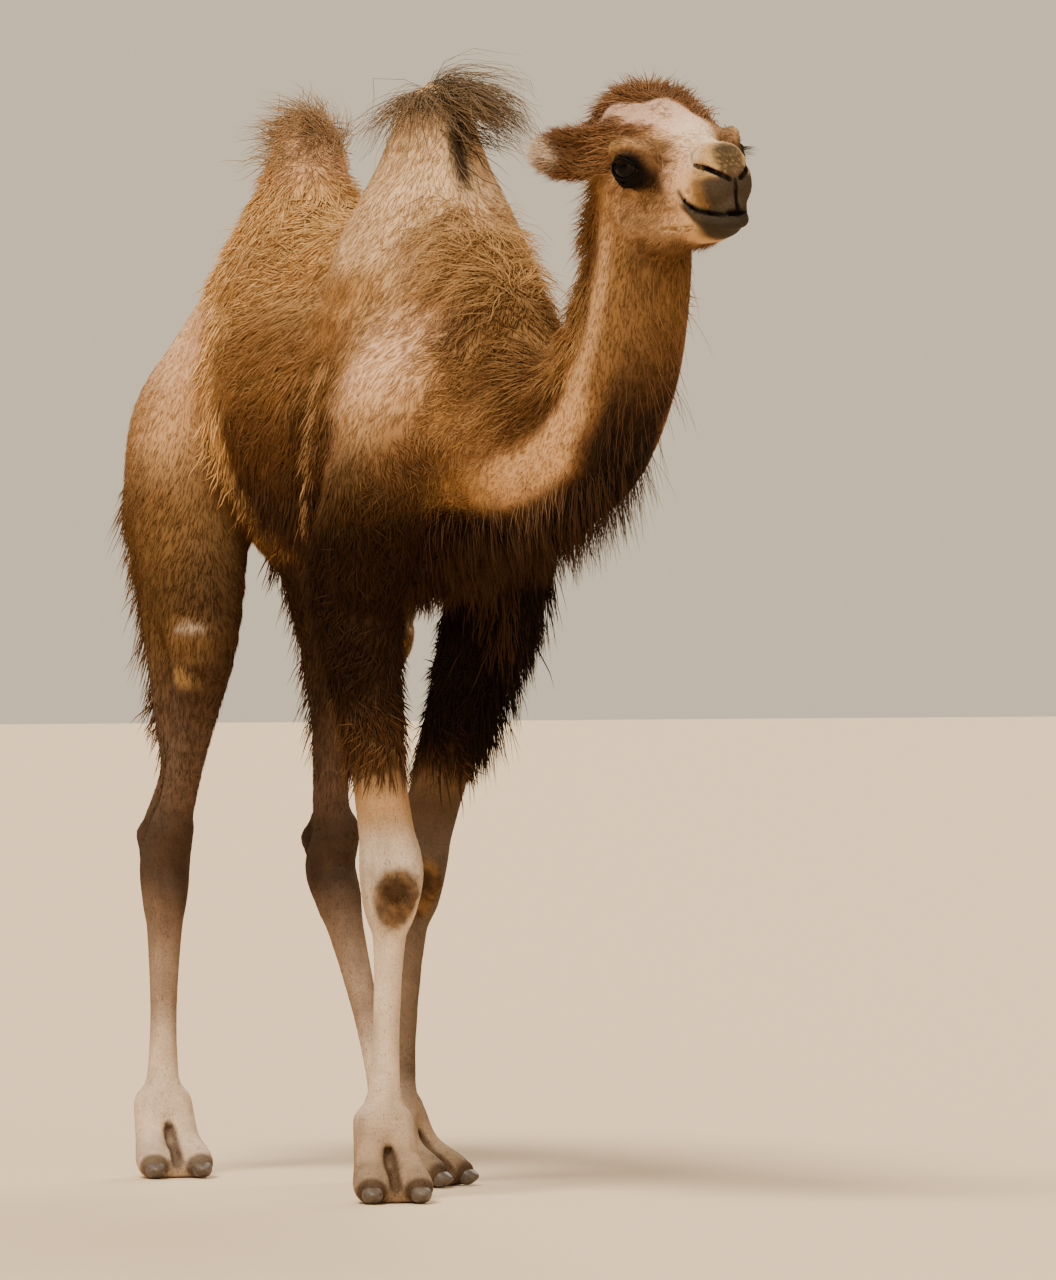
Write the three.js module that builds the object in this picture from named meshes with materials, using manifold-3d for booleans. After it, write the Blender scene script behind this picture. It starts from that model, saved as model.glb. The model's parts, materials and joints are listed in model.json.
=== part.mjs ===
// Young Bactrian camel, standing mid-step, life size. Millimetres, +Z up.
// The camel faces -Y and its left side is +X. Forms are written as chains of round-ended
// cones and ellipsoids, blended, and meshed as stacks of rings cast out from a centre line.
import * as THREE from 'three';
import { mergeVertices } from 'three/addons/utils/BufferGeometryUtils.js';
import Module from 'manifold-3d';

const wasm = await Module();
wasm.setup();

// ---------------------------------------------------------------- driving dimensions
const SIDES = { left: 1, right: -1 };
const GAP = 0.6;                    // clearance left where one solid is cut by its neighbour
const TRUNK_FRONT = -590;           // y of the chest end of the trunk's rings
const TRUNK_BACK = 500;             // y of the rump end
const TRUNK_AXIS = 1120;            // height of the line that the trunk's rings are cast from
const NAIL = { ahead: 100, apart: 35, height: 14, wide: 15, long: 17, high: 13 };
const EYE_RADIUS = 23;
const EYE_PLACE = [-6, 78, -2];     // forward, sideways and up in the head's own frame
const FRONT_HUMP = { y: -335, foot: 1250, peak: 1585, girth: 180, lean: -15 };
const REAR_HUMP = { y: 90, foot: 1250, peak: 1570, girth: 165, lean: -10 };

// Joints of each leg and the way its foot points (degrees towards the camel's left)
const FORE = {
  right: { elbow: [-132, -365, 850], knee: [-102, -418, 468], fetlock: [-94, -374, 108], turn: -14 },
  left: { elbow: [130, -262, 850], knee: [81, -114, 470], fetlock: [80, -54, 108], turn: 32 },
};
const HIND = {
  right: { hip: [-100, 285, 1080], stifle: [-145, 105, 790], hock: [-122, 318, 462],
    fetlock: [-128, 314, 104], turn: -10 },
  left: { hip: [100, 270, 1080], stifle: [140, 112, 790], hock: [118, 258, 455],
    fetlock: [132, 82, 104], turn: 14 },
};

// How far the hair hangs ahead of each forearm, how far the muscle and hair lie behind each thigh,
// and how far each shin of the hind legs bows away from the straight line
const APRON = { right: [0, 0, 0], left: [12, -26, 0] };
const HAM = { right: [-12, 150, 20], left: [-22, 172, 0] };
const BOW = { right: [0, 0, 0], left: [-24, 50, 0] };

// The head's own frame: forward, left and up, from a point midway between the eyes
const HEAD = { at: [28, -1064, 1446], yaw: 4, pitch: 3, roll: 6.5 };

const COLOURS = {
  wool: 0xa37a4c, bare: 0xb39a83, dark: 0x4a3526, face: 0xb7a08a, leg: 0xc4b3a1,
  nail: 0x5b5048, eye: 0x120b08,
};

// ---------------------------------------------------------------- vectors and blends
const add = (a, b) => [a[0] + b[0], a[1] + b[1], a[2] + b[2]];
const sub = (a, b) => [a[0] - b[0], a[1] - b[1], a[2] - b[2]];
const scale = (a, s) => [a[0] * s, a[1] * s, a[2] * s];
const dot = (a, b) => a[0] * b[0] + a[1] * b[1] + a[2] * b[2];
const cross = (a, b) => [a[1] * b[2] - a[2] * b[1], a[2] * b[0] - a[0] * b[2], a[0] * b[1] - a[1] * b[0]];
const unit = (a) => scale(a, 1 / Math.hypot(...a));
const mix = (a, b, t) => add(scale(a, 1 - t), scale(b, t));
const radians = THREE.MathUtils.degToRad;

function blendMin(a, b, soft) {
  const h = Math.max(soft - Math.abs(a - b), 0) / soft;
  return Math.min(a, b) - h * h * h * soft / 6;
}
const blend = (soft, ...forms) => (p) => forms.reduce((d, form) => blendMin(d, form(p), soft), 1e4);

// Catmull-Rom through rows of numbers, a few steps per span
function smooth(rows, steps = 4) {
  const first = rows[0].map((v, i) => 2 * v - rows[1][i]);
  const last = rows.at(-1).map((v, i) => 2 * v - rows.at(-2)[i]);
  const all = [first, ...rows, last];
  const out = [];
  for (let i = 1; i < all.length - 2; i += 1) {
    for (let s = 0; s < steps; s += 1) {
      const t = s / steps;
      out.push(all[i].map((b, k) => {
        const [a, c, d] = [all[i - 1][k], all[i + 1][k], all[i + 2][k]];
        return 0.5 * (2 * b + (c - a) * t + (2 * a - 5 * b + 4 * c - d) * t * t
          + (3 * b - a - 3 * c + d) * t * t * t);
      }));
    }
  }
  out.push(rows.at(-1));
  return out;
}

// A rounded limb through stations [x, y, z, radius]; flat narrows it along one axis
function chain(stations, flat = 1, axis = [1, 0, 0]) {
  const fine = smooth(stations);
  const centre = scale(fine.reduce((sum, row) => add(sum, row), [0, 0, 0]), 1 / fine.length);
  const reach = Math.max(...fine.map((row) => Math.hypot(...sub(row, centre)) + row[3] * Math.max(1, flat)));
  const links = fine.slice(1).map((b, i) => {
    const a = fine[i];
    const along = sub(b, a);
    return { a, along, square: Math.max(dot(along, along), 1e-9), r: a[3], grow: b[3] - a[3] };
  });
  const narrow = 1 / flat - 1;
  const slope = Math.min(1, flat);
  return (p) => {
    const away = Math.hypot(p[0] - centre[0], p[1] - centre[1], p[2] - centre[2]) - reach;
    if (away > 120) return away;
    let best = 1e4;
    for (const { a, along, square, r, grow } of links) {
      const vx = p[0] - a[0];
      const vy = p[1] - a[1];
      const vz = p[2] - a[2];
      const t = Math.min(1, Math.max(0, (vx * along[0] + vy * along[1] + vz * along[2]) / square));
      let wx = vx - t * along[0];
      let wy = vy - t * along[1];
      let wz = vz - t * along[2];
      const side = (wx * axis[0] + wy * axis[1] + wz * axis[2]) * narrow;
      wx += side * axis[0];
      wy += side * axis[1];
      wz += side * axis[2];
      const d = Math.sqrt(wx * wx + wy * wy + wz * wz) - r - grow * t;
      if (d < best) best = d;
    }
    return best * slope;
  };
}

// An ellipsoid with its three radii along the given axes
function egg(centre, radii, axes = [[1, 0, 0], [0, 1, 0], [0, 0, 1]]) {
  return (p) => {
    const q = sub(p, centre);
    const local = axes.map((axis) => dot(q, axis));
    const k0 = Math.hypot(...local.map((v, i) => v / radii[i]));
    const k1 = Math.hypot(...local.map((v, i) => v / (radii[i] * radii[i])));
    return k1 < 1e-9 ? -Math.min(...radii) : k0 * (k0 - 1) / k1;
  };
}

// ---------------------------------------------------------------- rings cast out to a form
function cast(form, from, way, reach) {
  let inside = 0;
  let step = Math.max(-form(from) * 0.6, 2);
  let t = step;
  while (t < reach) {
    const d = form([from[0] + way[0] * t, from[1] + way[1] * t, from[2] + way[2] * t]);
    if (d > 0) break;
    inside = t;
    step = Math.max(-d * 0.6, 2);
    t += step;
  }
  let outside = Math.min(t, reach);
  for (let i = 0; i < 18; i += 1) {
    const half = (inside + outside) / 2;
    const at = [from[0] + way[0] * half, from[1] + way[1] * half, from[2] + way[2] * half];
    if (form(at) > 0) outside = half;
    else inside = half;
  }
  return Math.max(inside, 1.5);
}

// rings: [{ at, u, v }], each ring drawn in the plane of u and v; the ends close on a point
function loft(form, rings, sides, { reach = 500, grow = 0, startFlat = false } = {}) {
  const points = [];
  rings.forEach(({ at, u, v }) => {
    for (let i = 0; i < sides; i += 1) {
      const turn = (i / sides) * 2 * Math.PI;
      const way = add(scale(u, Math.cos(turn)), scale(v, Math.sin(turn)));
      points.push(add(at, scale(way, cast(form, at, way, reach) + grow)));
    }
  });
  const end = (ring, sign, flat) => {
    const out = scale(unit(cross(ring.u, ring.v)), sign);
    return flat ? ring.at : add(ring.at, scale(out, cast(form, ring.at, out, reach) + grow));
  };
  const startTip = points.length;
  points.push(end(rings[0], -1, startFlat), end(rings.at(-1), 1, false));
  const faces = [];
  for (let r = 0; r < rings.length - 1; r += 1) {
    for (let i = 0; i < sides; i += 1) {
      const a = r * sides + i;
      const b = r * sides + (i + 1) % sides;
      faces.push([a, b, b + sides], [a, b + sides, a + sides]);
    }
  }
  for (let i = 0; i < sides; i += 1) {
    const next = (i + 1) % sides;
    const top = (rings.length - 1) * sides;
    faces.push([startTip, next, i], [startTip + 1, top + i, top + next]);
  }
  return solid(points, faces);
}

// Level rings up a leg, one at each height
const levelRings = (line, heights) => heights.map((z) => (
  { at: pointAtHeight(line, z), u: [1, 0, 0], v: [0, 1, 0] }));

function pointAtHeight(line, z) {
  for (let i = 0; i < line.length - 1; i += 1) {
    const [a, b] = [line[i], line[i + 1]];
    if (z <= b[2] || i === line.length - 2) {
      const t = (z - a[2]) / (b[2] - a[2]);
      return [a[0] + (b[0] - a[0]) * t, a[1] + (b[1] - a[1]) * t, z];
    }
  }
  return line.at(-1);
}

// Rings square to a curve, kept upright by a sideways axis
function ringsAlong(line, count, across, startInset = 0, endInset = 0) {
  const curve = new THREE.CatmullRomCurve3(line.map((row) => new THREE.Vector3(...row)));
  return Array.from({ length: count }, (_, i) => {
    const t = startInset + (1 - startInset - endInset) * i / (count - 1);
    const along = curve.getTangentAt(t).toArray();
    const v = unit(cross(along, across));
    return { at: curve.getPointAt(t).toArray(), u: unit(cross(v, along)), v };
  });
}

// ---------------------------------------------------------------- solids
function solid(points, faces) {
  const plain = new THREE.BufferGeometry();
  plain.setAttribute('position', new THREE.Float32BufferAttribute(points.flat(), 3));
  plain.setIndex(faces.flat());
  return fromGeometry(plain);
}

function fromGeometry(geometry) {
  const bare = geometry.clone();
  bare.deleteAttribute('normal');
  bare.deleteAttribute('uv');
  const merged = mergeVertices(bare, 1e-3);
  return new wasm.Manifold(new wasm.Mesh({
    numProp: 3,
    vertProperties: new Float32Array(merged.attributes.position.array),
    triVerts: new Uint32Array(merged.index.array),
  }));
}

function toGeometry(manifold) {
  const { vertProperties, triVerts } = manifold.getMesh();
  const geometry = new THREE.BufferGeometry();
  geometry.setAttribute('position', new THREE.BufferAttribute(new Float32Array(vertProperties), 3));
  geometry.setIndex(new THREE.BufferAttribute(new Uint32Array(triVerts), 1));
  geometry.computeVertexNormals();
  return geometry;
}

// The biggest body that a cut leaves; crumbs under the neighbour's surface are dropped
function mainBody(manifold) {
  const pieces = manifold.decompose();
  return pieces.reduce((best, piece) => (piece.volume() > best.volume() ? piece : best));
}

// ---------------------------------------------------------------- trunk and humps
const MIRROR = [1, -1];

// A hump is a cone with hollow sides and a rounded tip, a little narrower across than along
const HUMP_PROFILE = [[0, 1.12], [0.25, 0.86], [0.5, 0.62], [0.76, 0.42], [0.87, 0.28]];
const hump = ({ y, foot, peak, girth, lean }) => chain(HUMP_PROFILE.map(([up, wide]) => [
  0, y + lean * up, foot + (peak - foot) * up, girth * wide]), 0.84);

const barrel = chain([
  [0, -470, 1105, 185],
  [0, -320, 1095, 228],
  [0, -110, 1115, 226],
  [0, 90, 1150, 200],
  [0, 240, 1140, 172],
  [0, 330, 1100, 138],
], 0.86);
const backLine = chain([
  [0, -600, 1220, 70],
  [0, -450, 1290, 105],
  [0, -330, 1310, 110],
  [0, -120, 1320, 105],
  [0, 100, 1310, 105],
  [0, 250, 1245, 95],
  [0, 350, 1150, 85],
], 0.95);
const brisket = chain([[0, -500, 1000, 100], [0, -380, 920, 70], [0, -230, 915, 55]], 0.9);
const shoulders = MIRROR.map((side) => chain([
  [side * 75, -330, 1270, 60],
  [side * 114, -420, 1150, 84],
  [side * 122, -480, 1040, 86],
], 0.8));
const haunches = MIRROR.map((side) => egg([side * 88, 285, 1045], [92, 165, 165]));
const trunkForm = blend(70, barrel, backLine, brisket, ...shoulders, ...haunches);

function trunkRings() {
  const count = 27;
  return Array.from({ length: count }, (_, i) => {
    const even = i / (count - 1);
    const t = even - 0.055 * Math.sin(2 * Math.PI * even);
    return { at: [0, TRUNK_FRONT + (TRUNK_BACK - TRUNK_FRONT) * t, TRUNK_AXIS], u: [1, 0, 0], v: [0, 0, -1] };
  });
}

// The crest is the mop of long hair on a hump's peak, which falls over on both sides
const crest = ({ y, peak, lean }, { rise, spread, side, full }) => chain([
  [side * 0.2 * spread, y + lean + 10, peak - 60, full * 0.72],
  [side * 0.5 * spread, y + lean + 5, peak - 5, full],
  [side * spread, y + lean, peak + rise, full * 0.46],
], 1.1);
const humpForm = (size, tuft) => blend(24, hump(size), crest(size, tuft));

function humpRings({ y, foot, peak, lean }, top) {
  const count = 11;
  return Array.from({ length: count }, (_, i) => {
    const z = foot - 50 + (top - foot + 50) * Math.pow(i / (count - 1), 0.75);
    return { at: [0, y + lean * (z - foot) / (peak - foot), z], u: [1, 0, 0], v: [0, 1, 0] };
  });
}

// ---------------------------------------------------------------- legs
const footFrame = (turn) => {
  const a = radians(turn);
  return { ahead: [Math.sin(a), -Math.cos(a), 0], across: [Math.cos(a), Math.sin(a), 0] };
};

// Two toes that spread from the fetlock over one broad pad
function footForms(fetlock, turn) {
  const { ahead, across } = footFrame(turn);
  const drop = fetlock[2];
  const at = (forward, sideways, height) => add(add(fetlock, scale(ahead, forward)),
    add(scale(across, sideways), [0, 0, height - drop]));
  const toes = MIRROR.map((side) => chain([
    [...at(2, side * 14, drop), 32],
    [...at(30, side * 24, drop * 0.52), 26],
    [...at(70, side * 33, 26), 26],
    [...at(88, side * 35, 20), 20],
  ]));
  const pad = chain([[...at(-20, 0, 20), 34], [...at(50, 0, 20), 46]], 0.62, [0, 0, 1]);
  const nails = MIRROR.map((side) => at(NAIL.ahead, side * NAIL.apart, NAIL.height));
  return { toes, pad, sole: at(28, 0, 0), nails, turn };
}

function foreLeg({ elbow, knee, fetlock, turn }, hang) {
  const foot = footForms(fetlock, turn);
  const limb = chain([
    [...add(elbow, [0, -85, 150]), 98],
    [...add(elbow, [0, -35, 70]), 98],
    [...add(elbow, [0, -5, 0]), 86],
    [...mix(elbow, knee, 0.35), 66],
    [...mix(elbow, knee, 0.66), 50],
    [...mix(elbow, knee, 0.86), 47],
    [...knee, 54],
    [...mix(knee, fetlock, 0.13), 46],
    [...mix(knee, fetlock, 0.27), 29],
    [...mix(knee, fetlock, 0.6), 24],
    [...mix(knee, fetlock, 0.85), 28],
    [...fetlock, 37],
  ], 0.86);
  const fringe = chain([
    [...add(elbow, [0, 36, 20]), 62],
    [...add(mix(elbow, knee, 0.35), [0, 34, 0]), 56],
    [...add(mix(elbow, knee, 0.66), [0, 22, 0]), 34],
  ], 0.8);
  const apron = chain([
    [...add(elbow, [0, -110, 30]), 70],
    [...add(mix(elbow, knee, 0.3), add(hang, [0, -62, 0])), 56],
    [...add(mix(elbow, knee, 0.6), add(hang, [0, -30, 0])), 32],
  ], 0.8);
  const leg = blend(16, blend(30, limb, fringe, apron), ...foot.toes, foot.pad);
  const line = [foot.sole, fetlock, knee, elbow, add(elbow, [0, -85, 150])];
  return { foot, form: leg, line, tops: [1035, 1068, 1088] };
}

function hindLeg({ hip, stifle, hock, fetlock, turn }, ham, bow) {
  const foot = footForms(fetlock, turn);
  const heel = add(hock, [0, 62, 38]);
  const thigh = chain([
    [...add(hip, [0, -10, 0]), 110],
    [...add(mix(hip, stifle, 0.45), [0, 30, 0]), 118],
    [...add(stifle, [0, 30, 10]), 78],
    [...add(mix(stifle, hock, 0.34), bow), 50],
    [...add(mix(stifle, hock, 0.68), scale(bow, 0.6)), 39],
    [...mix(stifle, hock, 0.9), 38],
  ], 0.74);
  const hamstring = chain([
    [...add(mix(hip, stifle, 0.35), [0, 120, -10]), 88],
    [...add(mix(stifle, hock, 0.05), ham), 66],
    [...add(mix(stifle, hock, 0.4), scale(ham, 0.62)), 43],
    [...add(mix(stifle, hock, 0.7), [0, 56, 28]), 22],
    [...heel, 19],
  ], 0.72);
  const shank = chain([
    [...mix(stifle, hock, 0.85), 37],
    [...hock, 43],
    [...mix(hock, fetlock, 0.13), 40],
    [...mix(hock, fetlock, 0.28), 31],
    [...mix(hock, fetlock, 0.6), 24],
    [...mix(hock, fetlock, 0.85), 27],
    [...fetlock, 35],
  ], 0.9);
  const cord = chain([[...heel, 19], [...add(mix(hock, fetlock, 0.2), [0, 26, 0]), 18]]);
  const leg = blend(16, blend(40, thigh, hamstring), blend(22, shank, cord), ...foot.toes, foot.pad);
  const shin = add(mix(stifle, hock, 0.45), scale(bow, 0.8));
  const middle = add(mix(stifle, hock, 0.1), add(bow, [0, 50, 0]));
  const line = [foot.sole, fetlock, hock, shin, middle, add(hip, [0, 20, 0])];
  return { foot, form: leg, line, tops: [1060, 1120, 1160, 1180] };
}

const LEG_HEIGHTS = [0, 12, 26, 42, 60, 82, 106, 130, 160, 240, 330, 375, 405, 435, 465, 495, 525,
  570, 640, 710, 780, 840, 900, 970];

function legSolid({ form, line, tops }, grow = 0) {
  const rings = levelRings(line, [...LEG_HEIGHTS, ...tops]);
  return loft(form, rings, 16, { reach: 260, startFlat: true, grow });
}

// A toenail caps the front of its toe
const nailSolid = (centre, turn) => fromGeometry(new THREE.SphereGeometry(1, 7, 5)
  .scale(NAIL.wide, NAIL.long, NAIL.high).rotateZ(radians(turn)).translate(...centre));

// ---------------------------------------------------------------- neck, head, ears, tail
const NECK_LINE = [
  [0, -440, 1130, 190],
  [0, -590, 1085, 165],
  [4, -720, 1065, 136],
  [10, -832, 1098, 120],
  [18, -902, 1184, 110],
  [24, -928, 1280, 104],
  [26, -938, 1370, 98],
  [26, -965, 1450, 88],
];
const BEARD_LINE = [
  [0, -560, 985, 80],
  [4, -700, 960, 90],
  [10, -850, 1000, 80],
  [20, -975, 1100, 62],
  [28, -1036, 1220, 50],
  [28, -1036, 1330, 44],
];
const neckForm = blend(50, chain(NECK_LINE, 0.74), chain(BEARD_LINE, 0.4));

function headAxes() {
  const [yaw, pitch, roll] = [HEAD.yaw, HEAD.pitch, HEAD.roll].map(radians);
  const forward = [Math.sin(yaw) * Math.cos(pitch), -Math.cos(yaw) * Math.cos(pitch), Math.sin(pitch)];
  const level = unit(cross([0, 0, 1], forward));
  const upright = cross(forward, level);
  const left = add(scale(level, Math.cos(roll)), scale(upright, Math.sin(roll)));
  return { forward, left, up: cross(forward, left) };
}
const { forward: AHEAD, left: LEFT, up: UP } = headAxes();
const HEAD_AXES = [AHEAD, LEFT, UP];
const onHead = (ahead, left, up) => add(HEAD.at,
  add(scale(AHEAD, ahead), add(scale(LEFT, left), scale(UP, up))));
const headChain = (rows, flat, axis) => chain(
  rows.map(([a, l, u, r]) => [...onHead(a, l, u), r]), flat, axis);
const headEgg = (at, radii) => egg(onHead(...at), radii, HEAD_AXES);

const skull = blend(26,
  headEgg([-62, 0, 28], [78, 77, 80]),
  headEgg([-15, 0, 24], [62, 72, 48]),
  headChain([[-70, 0, -22, 66], [0, 0, -32, 66], [60, 0, -38, 48], [94, 0, -38, 36]], 0.92, LEFT),
  headChain([[-10, 0, 22, 44], [60, 0, 0, 29], [96, 0, -7, 22]], 1.1, LEFT),
);
const cheeks = MIRROR.map((side) => blend(20,
  headEgg([-4, side * 66, 2], [42, 25, 38]),
  headChain([[-85, side * 26, -30, 52], [-60, side * 28, -80, 38], [0, side * 20, -94, 30],
    [80, side * 10, -86, 22]]),
));
const muzzle = blend(10,
  headEgg([100, 14, -40], [30, 25, 32]),
  headEgg([100, -14, -40], [30, 25, 32]),
  headEgg([98, 13, -6], [24, 18, 19]),
  headEgg([98, -13, -6], [24, 18, 19]),
  headChain([[50, 0, -80, 27], [94, 0, -80, 27], [106, 0, -75, 25]]),
);
// The hair of the crown stands up behind the brow and falls to both sides
const crown = headEgg([-74, -4, 58], [62, 90, 64]);
const headForm = blend(28, skull, ...cheeks, muzzle, crown);

// The right ear stands out sideways, the left one is laid back
const EAR_LINES = {
  right: [[-80, -62, 20, 26], [-96, -98, 26, 39], [-106, -126, 31, 36], [-114, -148, 35, 18]],
  left: [[-84, 60, 20, 26], [-112, 82, 24, 38], [-140, 96, 26, 35], [-162, 104, 26, 18]],
};
const earWay = (rows) => unit(sub(onHead(...rows.at(-1)), onHead(...rows[0])));
const earForm = (rows) => headChain(rows, 0.62, unit(cross(UP, earWay(rows))));
const earRings = (rows) => ringsAlong(rows.map(([a, l, u]) => onHead(a, l, u)), 7, UP);

const TAIL_LINE = [[0, 430, 1180, 34], [0, 490, 1120, 30], [0, 520, 1000, 24], [-4, 524, 880, 22],
  [-6, 520, 780, 30], [-8, 516, 700, 22]];

// ---------------------------------------------------------------- making the solids
const headRings = Array.from({ length: 24 }, (_, i) => {
  const even = i / 23;
  const t = even + 0.05 * Math.sin(2 * Math.PI * even);
  return { at: onHead(126 - 262 * t, 0, -42 + 40 * t), u: LEFT, v: scale(UP, -1) };
});
const makeTrunk = (grow) => loft(trunkForm, trunkRings(), 24, { grow });
const makeHead = (grow) => loft(headForm, headRings, 20, { grow, reach: 260 });
const makeNeck = (grow) => loft(neckForm,
  ringsAlong(NECK_LINE.map((row) => row.slice(0, 3)), 13, [1, 0, 0], 0.06), 16, { grow, reach: 300 });

const eyeAt = (side) => onHead(EYE_PLACE[0], side * EYE_PLACE[1], EYE_PLACE[2]);
const ball = (centre, radius) => fromGeometry(
  new THREE.SphereGeometry(radius, 10, 8).translate(...centre));

const trunkGrown = makeTrunk(GAP);
const headGrown = makeHead(GAP);
const neckGrown = makeNeck(GAP);

const solids = {};
solids.trunk = makeTrunk(0);
const frontHump = humpForm(FRONT_HUMP, { rise: 40, spread: 8, side: 1, full: 56 });
const rearHump = humpForm(REAR_HUMP, { rise: 30, spread: 6, side: -1, full: 48 });
solids.hump_front = loft(frontHump, humpRings(FRONT_HUMP, 1636), 14, { reach: 260 }).subtract(trunkGrown);
solids.hump_rear = loft(rearHump, humpRings(REAR_HUMP, 1612), 14, { reach: 260 }).subtract(trunkGrown);
solids.neck = makeNeck(0).subtract(trunkGrown).subtract(headGrown);
let head = makeHead(0);
for (const [name, side] of Object.entries(SIDES)) {
  const eye = eyeAt(side);
  head = head.subtract(ball(eye, EYE_RADIUS + GAP));
  solids[`eye_${name}`] = ball(eye, EYE_RADIUS);
  solids[`ear_${name}`] = loft(earForm(EAR_LINES[name]), earRings(EAR_LINES[name]), 10, { reach: 120 })
    .subtract(headGrown).subtract(neckGrown);
  const legs = {
    front: foreLeg(FORE[name], APRON[name]),
    hind: hindLeg(HIND[name], HAM[name], BOW[name]),
  };
  for (const [end, leg] of Object.entries(legs)) {
    solids[`leg_${end}_${name}`] = legSolid(leg).subtract(trunkGrown).subtract(neckGrown);
    const legGrown = legSolid(leg, GAP);
    leg.foot.nails.forEach((centre, i) => {
      const place = i === 0 ? 'left' : 'right';
      solids[`toenail_${end}_${name}_${place}`] = nailSolid(centre, leg.foot.turn).subtract(legGrown);
    });
  }
}
solids.head = head;
solids.tail = loft(chain(TAIL_LINE, 1),
  ringsAlong(TAIL_LINE.map((row) => row.slice(0, 3)), 10, [1, 0, 0], 0.01, 0.01), 8, { reach: 80 })
  .subtract(trunkGrown);

// ---------------------------------------------------------------- the scene graph
const look = (colour, roughness = 0.9) => new THREE.MeshStandardMaterial(
  { color: colour, roughness, metalness: 0 });
const finish = {
  trunk: look(COLOURS.wool), hump_front: look(COLOURS.wool), hump_rear: look(COLOURS.wool),
  neck: look(COLOURS.bare), head: look(COLOURS.face), tail: look(COLOURS.dark),
};
const finishFor = (name) => {
  if (name.startsWith('eye')) return look(COLOURS.eye, 0.1);
  if (name.startsWith('toenail')) return look(COLOURS.nail, 0.5);
  if (name.startsWith('leg')) return look(COLOURS.leg);
  if (name.startsWith('ear')) return look(COLOURS.wool);
  return finish[name];
};

const camel = new THREE.Group();
for (const [name, manifold] of Object.entries(solids)) {
  const mesh = new THREE.Mesh(toGeometry(mainBody(manifold)), finishFor(name));
  mesh.name = name;
  camel.add(mesh);
}
const reach = new THREE.Box3().setFromObject(camel);
camel.position.set(-(reach.min.x + reach.max.x) / 2, -(reach.min.y + reach.max.y) / 2, -reach.min.z);

const group = new THREE.Group();
group.add(camel);
export default group;
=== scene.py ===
"""Young Bactrian camel, life size: one skin over the solids, dressed in locks of hair, on a plain stage.

Shapes are worked out in millimetres about the camel's own origin (it faces -Y, its left side is +X)
and are moved into the frame's metres when a mesh is made.
"""
import json
import math

import bmesh
import bpy
import numpy as np
import openvdb
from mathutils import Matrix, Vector

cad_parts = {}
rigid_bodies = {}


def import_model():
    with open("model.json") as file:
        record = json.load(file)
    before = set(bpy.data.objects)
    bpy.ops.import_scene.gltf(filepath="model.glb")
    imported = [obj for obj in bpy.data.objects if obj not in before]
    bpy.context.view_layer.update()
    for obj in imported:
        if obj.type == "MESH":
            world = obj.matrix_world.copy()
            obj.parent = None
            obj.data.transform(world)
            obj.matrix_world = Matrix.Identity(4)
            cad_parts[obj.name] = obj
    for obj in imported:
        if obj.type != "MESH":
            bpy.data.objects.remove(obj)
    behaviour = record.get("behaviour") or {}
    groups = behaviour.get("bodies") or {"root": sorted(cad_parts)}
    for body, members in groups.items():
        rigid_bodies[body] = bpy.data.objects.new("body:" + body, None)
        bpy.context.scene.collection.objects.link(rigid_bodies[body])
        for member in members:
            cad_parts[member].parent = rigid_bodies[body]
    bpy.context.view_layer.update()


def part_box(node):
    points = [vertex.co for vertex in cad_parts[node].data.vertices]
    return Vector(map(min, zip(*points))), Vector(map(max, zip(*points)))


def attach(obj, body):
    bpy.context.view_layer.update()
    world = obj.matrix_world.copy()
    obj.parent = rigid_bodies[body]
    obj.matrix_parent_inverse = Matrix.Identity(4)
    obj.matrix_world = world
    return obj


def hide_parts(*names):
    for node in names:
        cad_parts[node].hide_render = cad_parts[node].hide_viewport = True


bl_info = {
    "name": "Young camel",
    "version": (1, 0, 0),
    "blender": (4, 5, 0),
    "location": "View3D > Sidebar > Camel",
    "description": "Builds the skin, eyes, nails and coat of a young Bactrian camel, and its stage",
    "category": "Object",
}

for extra in list(bpy.data.objects):
    bpy.data.objects.remove(extra)
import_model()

# ---------------------------------------------------------------- the camel's sizes, as in the solids
SIDES = {"left": 1, "right": -1}
X_AXIS, Y_AXIS, Z_AXIS = (1, 0, 0), (0, 1, 0), (0, 0, 1)
NAIL_SIZE = {"ahead": 100, "apart": 35, "height": 14, "wide": 15, "long": 17, "high": 13}
EYE_RADIUS = 23
EYE_PLACE = (-6, 78, -2)
FRONT_HUMP = {"y": -335, "foot": 1250, "peak": 1585, "girth": 180, "lean": -15}
REAR_HUMP = {"y": 90, "foot": 1250, "peak": 1570, "girth": 165, "lean": -10}
FORE = {
    "right": {"elbow": (-132, -365, 850), "knee": (-102, -418, 468), "fetlock": (-94, -374, 108), "turn": -14},
    "left": {"elbow": (130, -262, 850), "knee": (81, -114, 470), "fetlock": (80, -54, 108), "turn": 32},
}
HIND = {
    "right": {"hip": (-100, 285, 1080), "stifle": (-145, 105, 790), "hock": (-122, 318, 462),
              "fetlock": (-128, 314, 104), "turn": -10, "ham": (0, 122, 10), "bow": (0, 0, 0)},
    "left": {"hip": (100, 270, 1080), "stifle": (140, 112, 790), "hock": (118, 258, 455),
             "fetlock": (132, 82, 104), "turn": 14, "ham": (-20, 150, 0), "bow": (-24, 50, 0)},
}
HEAD = {"at": (28, -1064, 1446), "yaw": 4, "pitch": 3, "roll": 6.5}
EAR_LINES = {
    "right": [(-80, -62, 20, 26), (-96, -98, 26, 39), (-106, -126, 31, 36), (-114, -148, 35, 18)],
    "left": [(-84, 60, 20, 26), (-112, 82, 24, 38), (-140, 96, 26, 35), (-162, 104, 26, 18)],
}
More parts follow.
